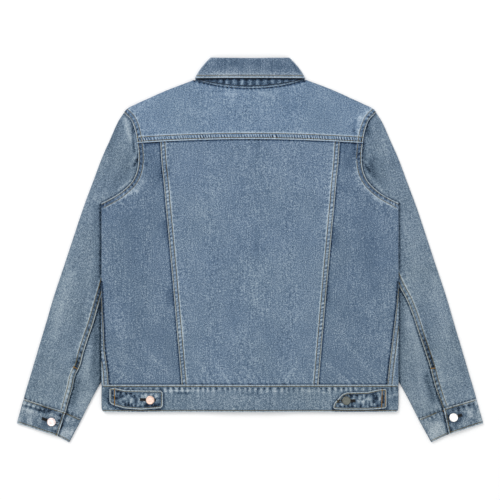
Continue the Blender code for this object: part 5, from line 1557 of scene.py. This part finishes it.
STITCH_PITCH = 3.2
STITCH_LENGTH = 2.8
STITCH_RADIUS = 0.68
TACK_PITCH = 0.62
TACK_RADIUS = 0.42
SLOT_RADIUS = 2.2
SLOT_FLAT = 0.15
BINDING_REACH = 0.9
THREAD_FLAT = 0.7
PROUD = 0.12
PROBE = 50.0
MOST_SLOPE = 0.7
THREAD_SIDES = 6
THREAD_RINGS = ((-0.5, 0.5), (-0.38, 1.0), (0.38, 1.0), (0.5, 0.5))


def surface_at(cloth, x, y, from_above):
    """The point of a cloth over or under a place, in millimetres, and its normal."""
    way = -1 if from_above else 1
    hit, place, normal, _ = cloth.ray_cast(Vector((x * MM, y * MM, -way * PROBE * MM)), Vector((0, 0, way)))
    return (np.array(place) / MM, np.array(normal)) if hit else (None, None)


def row_stitches(cloth, line, inset, side=RIGHT, from_above=True, beyond=None):
    """Stitches of a row along a line, as middle, half length and normal, where the cloth lies."""
    places = run_along(line, inset, STITCH_PITCH) * np.array([side, 1])
    ways = np.gradient(places, axis=0)
    ways = ways / np.linalg.norm(ways, axis=1, keepdims=True)
    stitches = []
    for place, way in zip(places, ways):
        if beyond is not None and abs(place[0]) < beyond:
            continue
        first, _ = surface_at(cloth, *(place - way * STITCH_LENGTH / 2), from_above)
        last, normal = surface_at(cloth, *(place + way * STITCH_LENGTH / 2), from_above)
        if first is None or last is None or abs(last[2] - first[2]) > MOST_SLOPE * STITCH_LENGTH:
            continue
        stitches.append(((first + last) / 2, (last - first) / 2, normal))
    return stitches


def ways_of(mark):
    """Unit vectors along and across a bar tack or a buttonhole."""
    angle = math.radians(mark.angle)
    along = np.array([math.cos(angle), math.sin(angle), 0.0])
    return along, np.array([-along[1], along[0], 0.0])


def tack_stitches(cloth, tack):
    """Close stitches across the length of a bar tack."""
    way, across = ways_of(tack)
    across = across * tack.width / 2
    stitches = []
    for place in np.arange(-tack.length / 2, tack.length / 2, TACK_PITCH):
        point, normal = surface_at(cloth, *(np.array([tack.x, tack.y]) + way[:2] * place), True)
        if point is not None:
            stitches.append((point, across, normal))
    return stitches


def slot_stitches(cloth, slot):
    """Stitches that bind both sides of a buttonhole."""
    way, across = ways_of(slot)
    stitches = []
    for place in np.arange(-slot.length / 2, slot.length / 2, TACK_PITCH):
        for edge in (-1, 1):
            x, y = np.array([slot.x, slot.y]) + way[:2] * place + across[:2] * edge * SLOT_RADIUS
            point, normal = surface_at(cloth, x, y, True)
            if point is not None:
                stitches.append((point, across * BINDING_REACH, normal))
    return stitches


def make_thread(name, stitches, look, radius=STITCH_RADIUS, flat=THREAD_FLAT):
    """Rounded stitches, each from its middle, half length and normal."""
    middle = np.array([stitch[0] for stitch in stitches])
    half = np.array([stitch[1] for stitch in stitches])
    normal = np.array([stitch[2] for stitch in stitches])
    length = np.linalg.norm(half, axis=1, keepdims=True)
    across = np.cross(half / length, normal)
    across = across / np.linalg.norm(across, axis=1, keepdims=True)
    up = np.cross(across, half / length)
    middle = middle + up * PROUD
    angles = np.arange(THREAD_SIDES) * 2 * math.pi / THREAD_SIDES
    rings = []
    for along, thick in THREAD_RINGS:
        sink = up * radius * 0.9 * flat * (thick - 1)
        centre = middle + 2 * half * along + sink
        for angle in angles:
            rings.append(centre + (across * math.cos(angle) + up * math.sin(angle) * flat) * radius * thick)
    points = np.stack(rings, axis=1)
    count = points.shape[1]
    faces = []
    for ring in range(len(THREAD_RINGS) - 1):
        for step in range(THREAD_SIDES):
            after = (step + 1) % THREAD_SIDES
            low = ring * THREAD_SIDES
            faces.append([low + step, low + after, low + after + THREAD_SIDES, low + step + THREAD_SIDES])
    caps = [list(range(THREAD_SIDES))[::-1], list(range(count - THREAD_SIDES, count))]
    first = np.arange(len(stitches)) * count
    all_faces = (first[:, None, None] + np.array(faces)[None]).reshape(-1, 4).tolist()
    for cap in caps:
        all_faces += (first[:, None] + np.array(cap)[None]).tolist()
    return add_mesh(name, points.reshape(-1, 3), all_faces, look)


def make_slot(name, cloth, slot, look):
    """The painted shade in the opening of a buttonhole, as a thin rounded strip on the cloth."""
    point, normal = surface_at(cloth, slot.x, slot.y, True)
    half = ways_of(slot)[0] * slot.length / 2
    return make_thread(name, [(point, half, normal)], look, radius=SLOT_RADIUS, flat=SLOT_FLAT)


# Buttons


def make_button(name, place, base, look, upward=1):
    """A turned cap with a raised rim and a shallow dish."""
    steps = np.arange(CAP_SIDES) * 2 * math.pi / CAP_SIDES
    rings = [[(place[0], place[1], base + upward * CAP_PROFILE[0].height)]]
    for ring in CAP_PROFILE:
        x = place[0] + ring.radius * np.cos(steps)
        y = place[1] + ring.radius * np.sin(steps)
        rings.append(points_of(x, y, base + upward * ring.height).tolist())
    rings.append([(place[0], place[1], base)])
    points = np.concatenate([np.array(ring) for ring in rings])
    last = len(points) - 1
    last_ring = last - CAP_SIDES
    faces = []
    for step in range(CAP_SIDES):
        after = (step + 1) % CAP_SIDES
        faces.append((0, 1 + step, 1 + after))
        faces.append((last_ring + step, last, last_ring + after))
        for ring in range(len(CAP_PROFILE) - 1):
            low = 1 + ring * CAP_SIDES
            high = low + CAP_SIDES
            faces.append((low + step, high + step, high + after, low + after))
    if upward < 0:
        faces = [face[::-1] for face in faces]
    made = add_mesh(name, points, faces, look)
    made.data.set_sharp_from_angle(angle=SHARP_METAL)
    return made


# Materials


def linear(colour):
    """Linear red, green and blue of an sRGB colour written as hex, and an alpha of 1."""
    channels = [int(colour[first : first + 2], 16) / 255 for first in (0, 2, 4)]
    linear_channels = [
        channel / 12.92 if channel <= 0.04045 else ((channel + 0.055) / 1.055) ** 2.4 for channel in channels
    ]
    return (*linear_channels, 1.0)


def add_node(tree, kind, inputs=(), output=0, **settings):
    """A node with its settings, its values and its links from other nodes' outputs; gives its output."""
    node = tree.nodes.new("ShaderNode" + kind)
    for setting, value in settings.items():
        setattr(node, setting, value)
    for socket, value in dict(inputs).items():
        if isinstance(value, bpy.types.NodeSocket):
            tree.links.new(value, node.inputs[socket])
        else:
            node.inputs[socket].default_value = value
    return node.outputs[output]


def new_look(name, **values):
    """A material with values on its shader's own sockets, and its tree, shader and texture place."""
    look = bpy.data.materials.new(name)
    look.use_nodes = True
    tree = look.node_tree
    shader = tree.nodes["Principled BSDF"]
    for socket, value in values.items():
        shader.inputs[socket.replace("_", " ")].default_value = value
    return look, tree, shader, add_node(tree, "TexCoord", output="Object")


def repeats(size):
    """Repeats to a metre of a pattern of a size in millimetres."""
    return 1 / (size * MM)


def sum_of(tree, start, *terms):
    """A number plus several sockets, each less its middle value and times a gain."""
    total = start
    for socket, middle, gain in terms:
        shifted = add_node(tree, "Math", {0: socket, 1: middle}, operation="SUBTRACT")
        total = add_node(tree, "Math", {0: shifted, 1: gain, 2: total}, operation="MULTIPLY_ADD")
    return total


def colour_by(tree, shader, part, first, second, blend_type="MIX"):
    """Colours the surface from one colour towards another by a number."""
    inputs = {"Factor": part, "A": first, "B": second}
    mixed = add_node(tree, "Mix", inputs, output="Result", data_type="RGBA", blend_type=blend_type)
    tree.links.new(mixed, shader.inputs["Base Color"])


def emboss(tree, shader, height, strength, depth):
    """Raises the surface by a pattern's height, at most by a depth in millimetres."""
    bump = add_node(tree, "Bump", {"Height": height, "Strength": strength, "Distance": depth * MM})
    tree.links.new(bump, shader.inputs["Normal"])


# Sizes of the denim's patterns. Its real yarns are 0.5 mm thick and its twill lines stand 0.8 mm
# apart, which is too fine to show, so the speckle of the yarns and the twill are drawn coarser.
SPECKLE_SIZE = 2.2
FINE_SIZE = 1.3
TWILL_PITCH = 1.3
TWILL_TURN = math.radians(-63)
# Uneven yarns show as short streaks along the warp, and washing leaves soft blotches
STREAK_WIDTH = 2.2
STREAK_LENGTH = 30.0
BLOTCH_SIZE = 48.0
AGED_SIZE = 110.0
AGED_CAST = "fffdf5"
# The wave texture's own scale gives this many waves to a unit
WAVE_UNIT = math.pi / 10


def denim(name, deep, base, pale, grain=0.0):
    """Cotton twill, indigo dyed and stone washed."""
    # It is matte and speckled: blue warp over white weft, dark where dye is left in ditches and darker
    # still, to near black, with painted shade beside seams, under edges and in creases, pale where it is
    # rubbed off edges and folds, and slightly yellowed with age.
    look, tree, shader, place = new_look(name, Roughness=0.92, Specular_IOR_Level=0.2)
    turned = add_node(tree, "Mapping", {"Vector": place, "Rotation": (0, 0, grain)})
    speckle, fine, blotch = [
        add_node(tree, "TexNoise", {"Vector": turned, "Scale": repeats(size), "Detail": detail})
        for size, detail in ((SPECKLE_SIZE, 2.0), (FINE_SIZE, 1.0), (BLOTCH_SIZE, 3.0))
    ]
    stretch = (repeats(STREAK_WIDTH), repeats(STREAK_LENGTH), repeats(STREAK_WIDTH))
    drawn = add_node(tree, "Mapping", {"Vector": turned, "Scale": stretch})
    streak = add_node(tree, "TexNoise", {"Vector": drawn, "Scale": 1.0, "Detail": 2.0})
    slanted = add_node(tree, "Mapping", {"Vector": turned, "Rotation": (0, 0, TWILL_TURN)})
    lines = {"Vector": slanted, "Scale": WAVE_UNIT * repeats(TWILL_PITCH), "Distortion": 1.5, "Detail": 1.0}
    twill = add_node(tree, "TexWave", lines)
    wear_and_shade = add_node(tree, "Attribute", attribute_name="wear_and_shade", output="Fac")
    gains = ((speckle, 0.95), (fine, 0.74), (streak, 0.26), (blotch, 0.14), (twill, 0.04))
    tone = sum_of(tree, 0.5, *((socket, 0.5, gain) for socket, gain in gains), (wear_and_shade, 0.0, 0.38))
    ramp = add_node(tree, "ValToRGB", {"Fac": tone})
    stops = ramp.node.color_ramp.elements
    stops[0].position = 0.0
    stops[0].color = linear(SEAM_SHADE)
    stops[1].position = 0.9
    stops[1].color = linear(pale)
    stops.new(0.1).color = linear(deep)
    stops.new(0.5).color = linear(base)
    patches = {"Vector": place, "Scale": repeats(AGED_SIZE), "Detail": 2.0}
    aged = add_node(tree, "TexNoise", patches)
    level = add_node(tree, "SeparateXYZ", {"Vector": place}, output="Y")
    share = sum_of(tree, 0.35, (aged, 0.5, 1.2), (level, 0.0, -0.9))
    colour_by(tree, shader, share, ramp, linear(AGED_CAST), "MULTIPLY")
    height = sum_of(tree, 0.5, (speckle, 0.5, 0.5), (twill, 0.5, 0.5), (fine, 0.5, 0.5))
    emboss(tree, shader, height, 0.5, 0.35)
    return look


def thread(name, colour, shade):
    """Twisted cotton thread."""
    # It is matte, a little smoother than the cloth, with darker turns between its plies. A ply's
    # turn is 0.8 mm long, and the dye is uneven over 9 mm or so.
    look, tree, shader, place = new_look(name, Roughness=0.75)
    slanted = add_node(tree, "Mapping", {"Vector": place, "Rotation": (0, 0, math.radians(40))})
    turns = {"Vector": slanted, "Scale": WAVE_UNIT * repeats(0.8), "Distortion": 1.0}
    plies = add_node(tree, "TexWave", turns)
    fuzz = add_node(tree, "TexNoise", {"Vector": place, "Scale": repeats(9), "Detail": 3.0})
    part = sum_of(tree, 0.3, (plies, 0.5, 0.3), (fuzz, 0.5, 1.2))
    colour_by(tree, shader, part, linear(colour), linear(shade))
    emboss(tree, shader, plies, 0.4, 0.1)
    return look


def metal(name, colour, stain, roughness):
    """A brass button, stamped and plated."""
    # The plate is half matte from washing and handling, with stains of 4 mm or so, and it shows
    # the light only as soft patches.
    look, tree, shader, place = new_look(name, Metallic=1.0, Roughness=roughness)
    patch = add_node(tree, "TexNoise", {"Vector": place, "Scale": repeats(4), "Detail": 4.0})
    part = sum_of(tree, 0.25, (patch, 0.5, 2.2))
    colour_by(tree, shader, part, linear(colour), linear(stain))
    emboss(tree, shader, patch, 0.2, 0.15)
    return look


def dark_slot(name, colour, shade):
    """Painted shade in the opening of a buttonhole, over the cut cloth."""
    # It is matte and in shade, so it is nearly black, with the fuzz of cut yarns, 1.5 mm long.
    look, tree, shader, place = new_look(name, Roughness=0.95)
    fuzz = add_node(tree, "TexNoise", {"Vector": place, "Scale": repeats(1.5), "Detail": 2.0})
    colour_by(tree, shader, fuzz, linear(colour), linear(shade))
    return look


def paper(name, colour):
    """Studio paper, rolled smooth."""
    # It is white and quite matte. Its fibre is too fine to show, so the grain is drawn at 3 mm.
    look, tree, shader, place = new_look(name, Base_Color=colour, Roughness=0.95, Specular_IOR_Level=0.0)
    grain = add_node(tree, "TexNoise", {"Vector": place, "Scale": repeats(3), "Detail": 2.0})
    emboss(tree, shader, grain, 0.05, 0.1)
    return look


SEAM_SHADE = "0c1722"
# The dye where it is kept, on plain cloth and where it is worn; the first colour also serves painted
# shade, and the stand's is deepest for its painted shadow under the fall
TINTS = {
    "centre": ("1f3652", "617790", "aebecc"),
    "yoke": ("213957", "677f99", "b1c1d0"),
    "side": ("1d3350", "596f88", "a8b8c7"),
    "sleeve": ("24384e", "687c90", "adbbc6"),
    "under": ("20364a", "6b7e91", "aab8c4"),
    "trim": ("1b3049", "61768b", "b0bdc9"),
    "cuff": ("16293f", "5c7084", "adbac6"),
    "collar": ("1b3048", "586d84", "a6b4c1"),
    "stand": ("0a182b", "455c75", "9bafc1"),
}
# Each thread's own colour and the one between its plies
THREADS = {
    "tan": ("75683a", "463f26"),
    "orange": ("9c7012", "3c2c12"),
    "dark": ("17191d", "0c0d10"),
    "faded": ("9a927a", "6f6a58"),
}


def look_of(name, make, *values):
    """The material of a name, made once."""
    return bpy.data.materials.get(name) or make(name, *values)


def cloth_look(tint, side=None):
    """Denim of a tint, with the grain of a sleeve where a side is given."""
    if side is None:
        return look_of("washed_denim_" + tint, denim, *TINTS[tint])
    return look_of(f"washed_denim_{tint}_{SIDES[side]}", denim, *TINTS[tint], SLEEVE_GRAIN * -side)


def thread_look(name):
    return look_of("cotton_thread_" + name, thread, *THREADS[name])


# Attaching the pieces and sewing them


Cut = namedtuple("Cut", "width length area")


def dress(piece, node, slot, rests_on, *on_it):
    """Attaches a piece of cloth and what is sewn on it to the root, and hides the node it stands for.
    The slot and what the piece rests on are not used.
    """
    for made in (piece, *on_it):
        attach(made, ROOT)
    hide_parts(node)


def rows_along(lines, insets, sides=(RIGHT,), **options):
    """Rows of stitches beside lines, at each inset and on each of the sides."""
    return [(line, inset, {"side": side, **options}) for line in lines for inset in insets for side in sides]


def stitch(name, piece, rows, look="tan"):
    """One thread object of all the rows of a piece."""
    bpy.context.view_layer.update()
    stitches = []
    for line, inset, options in rows:
        stitches += row_stitches(piece, line, inset, **options)
    return make_thread("thread_" + name, stitches, thread_look(look))


class JacketSettings(bpy.types.PropertyGroup):
    puckers: FloatProperty(
        name="Puckers",
        description="Height of the puckers beside the seams",
        default=1.0,
        min=0.0,
        max=2.0,
        subtype="FACTOR",
    )
    ripple: FloatProperty(
        name="Ripple",
        description="Height of the soft ripple of the cloth",
        default=1.0,
        min=0.0,
        max=2.0,
        subtype="FACTOR",
    )
    # Its factor also scales the painted shade beside seams, under edges and in creases
    wear_and_shade: FloatProperty(
        name="Wear",
        description="How much dye is worn off edges and kept in creases",
        default=1.0,
        min=0.0,
        max=1.5,
        subtype="FACTOR",
    )
    floor: FloatVectorProperty(
        name="Floor",
        description="Colour of the studio floor",
        default=linear("fafafa")[:3],
        min=0.0,
        max=1.0,
        subtype="COLOR",
    )
    lift: FloatProperty(
        name="Camera height",
        description="Height of the camera over the floor",
        default=2.778,
        min=0.5,
        unit="LENGTH",
    )


class JacketOperator:
    """Shared settings of the operators below."""

    bl_options = {"REGISTER", "UNDO"}


class DENIM_OT_yoke(JacketOperator, bpy.types.Operator):
    """Make the back yoke with its felled lower edge"""

    bl_idname = "denim.yoke"
    bl_label = "Back yoke"

    def execute(self, context):
        piece = make_yoke(cloth_look("yoke"))
        rows = rows_along([yoke_line()], YOKE_ROWS) + rows_along([armhole_line()], ARMHOLE_ROWS, SIDES)
        dress(piece, "back_yoke", "body_denim", ["front_left", "front_right"], stitch("yoke", piece, rows))
        return {"FINISHED"}


class DENIM_OT_centre_back(JacketOperator, bpy.types.Operator):
    """Make the centre panel of the back with its two felled seams"""

    bl_idname = "denim.centre_back"
    bl_label = "Centre back panel"

    def execute(self, context):
        piece = make_centre_panel(cloth_look("centre"))
        seams = stitch("centre_back", piece, rows_along([princess_line()], FELL_ROWS, SIDES))
        dress(piece, "back_centre_panel", "body_denim", ["front_left", "front_right"], seams)
        return {"FINISHED"}


class DENIM_OT_side_backs(JacketOperator, bpy.types.Operator):
    """Make the two side panels of the back"""

    bl_idname = "denim.side_backs"
    bl_label = "Side back panels"

    def execute(self, context):
        look = cloth_look("side")
        for side, name in SIDES.items():
            piece = make_side_panel(side, look)
            seams = stitch("side_back_" + name, piece, rows_along([armhole_line()], ARMHOLE_ROWS, [side]))
            rests_on = ["front_" + name, "sleeve_upper_" + name]
            dress(piece, "back_side_panel_" + name, "body_denim", rests_on, seams)
        return {"FINISHED"}


class DENIM_OT_fronts(JacketOperator, bpy.types.Operator):
    """Make the two fronts, which wrap round the sides, and the button band"""

    bl_idname = "denim.fronts"
    bl_label = "Fronts"

    def execute(self, context):
        look = cloth_look("side")
        for side, name in SIDES.items():
            piece = make_front(side, look)
            seams = stitch("front_" + name, piece, rows_along([side_seam_line(side)], FELL_ROWS, [side]))
            dress(piece, "front_" + name, "body_denim", ["sleeve_under_" + name], seams)
        band = make_button_band(cloth_look("trim"))
        edge = points_of(FRONT_LAP, steps_between(BAND_TOP_Y + 4, FRONT_NECK_Y - 5, 6))
        seams = stitch("button_band", band, rows_along([edge], BUTTON_BAND_ROWS, SIDES, from_above=False))
        dress(band, "front_button_band", "trim_denim", [], seams)
        return {"FINISHED"}


class DENIM_OT_waistband(JacketOperator, bpy.types.Operator):
    """Make the waistband and its two side tabs"""

    bl_idname = "denim.waistband"
    bl_label = "Waistband and tabs"

    def execute(self, context):
        look = cloth_look("trim")
        piece = make_waistband(look)
        edges = [band_line(BAND_TOP_Y, -1), band_line(HEM_Y, 1)]
        rows = rows_along(edges, HEM_ROWS) + rows_along(edges, HEM_ROWS, from_above=False)
        dress(piece, "waistband", "trim_denim", [], stitch("waistband", piece, rows))
        for side, name in SIDES.items():
            tab = make_tab(side, look)
            seams = stitch("tab_" + name, tab, rows_along([tab_outline(side)], TAB_ROWS, [side]))
            dress(tab, "side_tab_" + name, "trim_denim", ["waistband"], seams)
        return {"FINISHED"}


class DENIM_OT_collar(JacketOperator, bpy.types.Operator):
    """Make the collar stand and the fall over it"""

    bl_idname = "denim.collar"
    bl_label = "Collar"

    def execute(self, context):
        stand = make_stand(cloth_look("stand"))
        seams = stitch("stand", stand, rows_along([neck_line()[::-1]], STAND_ROWS), "dark")
        dress(stand, "collar_stand", "stand_denim", ["collar_fall"], seams)
        fall = make_fall(cloth_look("collar"))
        seams = stitch("fall", fall, rows_along([fall_edge_line(106)], FALL_ROWS), "faded")
        dress(fall, "collar_fall", "trim_denim", ["collar_stand"], seams)
        return {"FINISHED"}


class DENIM_OT_sleeves(JacketOperator, bpy.types.Operator):
    """Make the upper and under sleeves"""

    bl_idname = "denim.sleeves"
    bl_label = "Sleeves"

    def execute(self, context):
        for side, name in SIDES.items():
            upper = make_upper_sleeve(side, cloth_look("sleeve", side))
            rows = rows_along([elbow_line(side)], ARMHOLE_ROWS, [side], beyond=HALF_WIDTH)
            dress(upper, "sleeve_upper_" + name, "sleeve_denim", [], stitch("sleeve_" + name, upper, rows))
            under = make_under_sleeve(side, cloth_look("under", side))
            dress(under, "sleeve_under_" + name, "sleeve_denim", [])
        return {"FINISHED"}


OFF_FOLD = np.array([3.0, 0.0])


class DENIM_OT_cuffs(JacketOperator, bpy.types.Operator):
    """Make the two cuffs"""

    bl_idname = "denim.cuffs"
    bl_label = "Cuffs"

    def execute(self, context):
        look = cloth_look("cuff")
        for side, name in SIDES.items():
            piece = make_cuff(side, look)
            cuff = CUFFS[side]
            top = line_through(np.array(cuff.outer_top) - OFF_FOLD, cuff.flap_top)
            hem = line_through(cuff.flap_hem, np.array(cuff.outer_hem) - OFF_FOLD)
            edge = line_through(cuff.flap_top, cuff.flap_hem)
            under_hem = line_through(cuff.inner_hem, cuff.flap_hem)
            rows = rows_along([top, hem, edge, under_cuff_line(side), under_hem], HEM_ROWS, [side])
            rows += rows_along([top, hem], HEM_ROWS, [side], from_above=False)
            dress(piece, "cuff_" + name, "trim_denim", [], stitch("cuff_" + name, piece, rows))
        return {"FINISHED"}


class DENIM_OT_tacks(JacketOperator, bpy.types.Operator):
    """Sew the bar tacks and the buttonholes"""

    bl_idname = "denim.tacks"
    bl_label = "Bar tacks and buttonholes"

    def execute(self, context):
        context.view_layer.update()
        cloths = bpy.data.objects
        tacks = [sewn for tack in BAR_TACKS for sewn in tack_stitches(cloths[tack.cloth], tack)]
        made = [make_thread("bar_tacks", tacks, thread_look("orange"), TACK_RADIUS)]
        shade = look_of("buttonhole_shade", dark_slot, "040506", "0d1014")
        made += [make_slot("slot_on_" + slot.cloth, cloths[slot.cloth], slot, shade) for slot in BUTTONHOLES]
        bindings = [sewn for slot in BUTTONHOLES for sewn in slot_stitches(cloths[slot.cloth], slot)]
        made.append(make_thread("buttonhole_thread", bindings, thread_look("dark"), TACK_RADIUS))
        for piece in made:
            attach(piece, ROOT)
        return {"FINISHED"}


METALS = {
    "nickel_plate": ("fffdfb", "ebe7e2", 0.4),
    "copper_plate": ("e2c8bb", "d3ac9a", 0.4),
    "worn_copper_plate": ("f5e9e8", "ecd6cf", 0.4),
    "gunmetal_plate": ("70736d", "50524e", 0.5),
    "steel_plate": ("c6c4bf", "7d7973", 0.42),
}
CUFF_METALS = {LEFT: "worn_copper_plate", RIGHT: "nickel_plate"}
TAB_METALS = {LEFT: "copper_plate", RIGHT: "gunmetal_plate"}


def add_button(piece, ending, place, base, plate, upward=1):
    """Makes a button and hides the frame's button that it stands for."""
    look = look_of(plate, metal, *METALS[plate])
    button = make_button(f"button_on_{piece}{ending}", place, base, look, upward)
    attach(button, ROOT)
    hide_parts(f"{piece}_button{ending}")


class DENIM_OT_buttons(JacketOperator, bpy.types.Operator):
    """Make the metal buttons"""

    bl_idname = "denim.buttons"
    bl_label = "Buttons"

    def execute(self, context):
        for side, name in SIDES.items():
            cuff = CUFF_BUTTONS[side]
            base = CUFF_TOP + CUFF_LAP_RISE + GAP
            add_button("cuff", "_" + name, (side * cuff.x, cuff.y), base, CUFF_METALS[side])
            tab = TAB_BUTTONS[side]
            base = float(band_upper(tab.x)) + GAP + TAB_CLOTH + GAP
            add_button("tab", "_" + name, (side * tab.x, tab.y), base, TAB_METALS[side])
        for number, y in enumerate(np.linspace(FRONT_BUTTON_TOP_Y, FRONT_BUTTON_BAND_Y, FRONT_BUTTONS), 1):
            add_button("front", f"_{number}", (0.0, y), CAP_HEIGHT, "steel_plate", upward=-1)
        return {"FINISHED"}


FLOOR_HALF = 6000.0
FLOOR_CORNERS = FLOOR_HALF * np.array([(-1, -1), (1, -1), (1, 1), (-1, 1)])
FLOOR_DROP = 0.6
WORLD_STRENGTH = 0.61
KEY_POWER = 74.0
FILL_POWER = 20.0
OVERHEAD_POWER = 25.0


def add_area(name, place, size, power):
    """A square soft light that looks at the middle of the floor."""
    light = bpy.data.lights.new(name, "AREA")
    light.size = size
    light.energy = power
    made = bpy.data.objects.new(name, light)
    made.location = place
    made.rotation_euler = Vector(place).to_track_quat("Z", "Y").to_euler()
    bpy.context.collection.objects.link(made)


class DENIM_OT_stage(JacketOperator, bpy.types.Operator):
    """Make the pale floor, the soft light and the camera over the jacket"""

    bl_idname = "denim.stage"
    bl_label = "Floor, light and camera"

    def execute(self, context):
        scene = context.scene
        settings = scene.denim_jacket
        corners = points_of(FLOOR_CORNERS[:, 0], FLOOR_CORNERS[:, 1], -FLOOR_DROP)
        paper_look = look_of("studio_paper", paper, (*settings.floor, 1))
        add_mesh("floor", corners, [(0, 1, 2, 3)], paper_look)
        world = bpy.data.worlds.new("soft_sky")
        world.use_nodes = True
        background = world.node_tree.nodes["Background"]
        background.inputs["Color"].default_value = (1, 1, 1, 1)
        background.inputs["Strength"].default_value = WORLD_STRENGTH
        scene.world = world
        add_area("key_light", (-1.9, 2.2, 3.4), 2.0, KEY_POWER)
        add_area("fill_light", (2.8, -1.8, 3.0), 2.4, FILL_POWER)
        add_area("overhead_light", (0, 0, 3.6), 2.0, OVERHEAD_POWER)
        camera = bpy.data.cameras.new("camera")
        camera.lens = 100
        camera.sensor_width = 36
        camera.clip_end = 50
        viewer = bpy.data.objects.new("camera", camera)
        viewer.location = (0, 0, settings.lift)
        context.collection.objects.link(viewer)
        scene.camera = viewer
        scene.view_settings.view_transform = "Standard"
        return {"FINISHED"}


class DENIM_PT_jacket(bpy.types.Panel):
    """The pieces of the jacket in the sidebar of the 3D view"""

    bl_idname = "DENIM_PT_jacket"
    bl_label = "Denim Jacket"
    bl_space_type = "VIEW_3D"
    bl_region_type = "UI"
    bl_category = "Denim Jacket"

    def draw(self, context):
        settings = context.scene.denim_jacket
        for name in ("puckers", "ripple", "wear_and_shade", "floor", "lift"):
            self.layout.prop(settings, name)
        for operator in OPERATORS:
            self.layout.operator(operator.bl_idname)


OPERATORS = (
    DENIM_OT_yoke,
    DENIM_OT_centre_back,
    DENIM_OT_side_backs,
    DENIM_OT_fronts,
    DENIM_OT_waistband,
    DENIM_OT_collar,
    DENIM_OT_sleeves,
    DENIM_OT_cuffs,
    DENIM_OT_tacks,
    DENIM_OT_buttons,
    DENIM_OT_stage,
)
CLASSES = (JacketSettings, *OPERATORS, DENIM_PT_jacket)


def register():
    for kind in CLASSES:
        bpy.utils.register_class(kind)
    bpy.types.Scene.denim_jacket = PointerProperty(type=JacketSettings)


def unregister():
    del bpy.types.Scene.denim_jacket
    for kind in reversed(CLASSES):
        bpy.utils.unregister_class(kind)


def main():
    register()
    for operator in OPERATORS:
        group, name = operator.bl_idname.split(".")
        getattr(getattr(bpy.ops, group), name)()


if __name__ == "__main__":
    main()
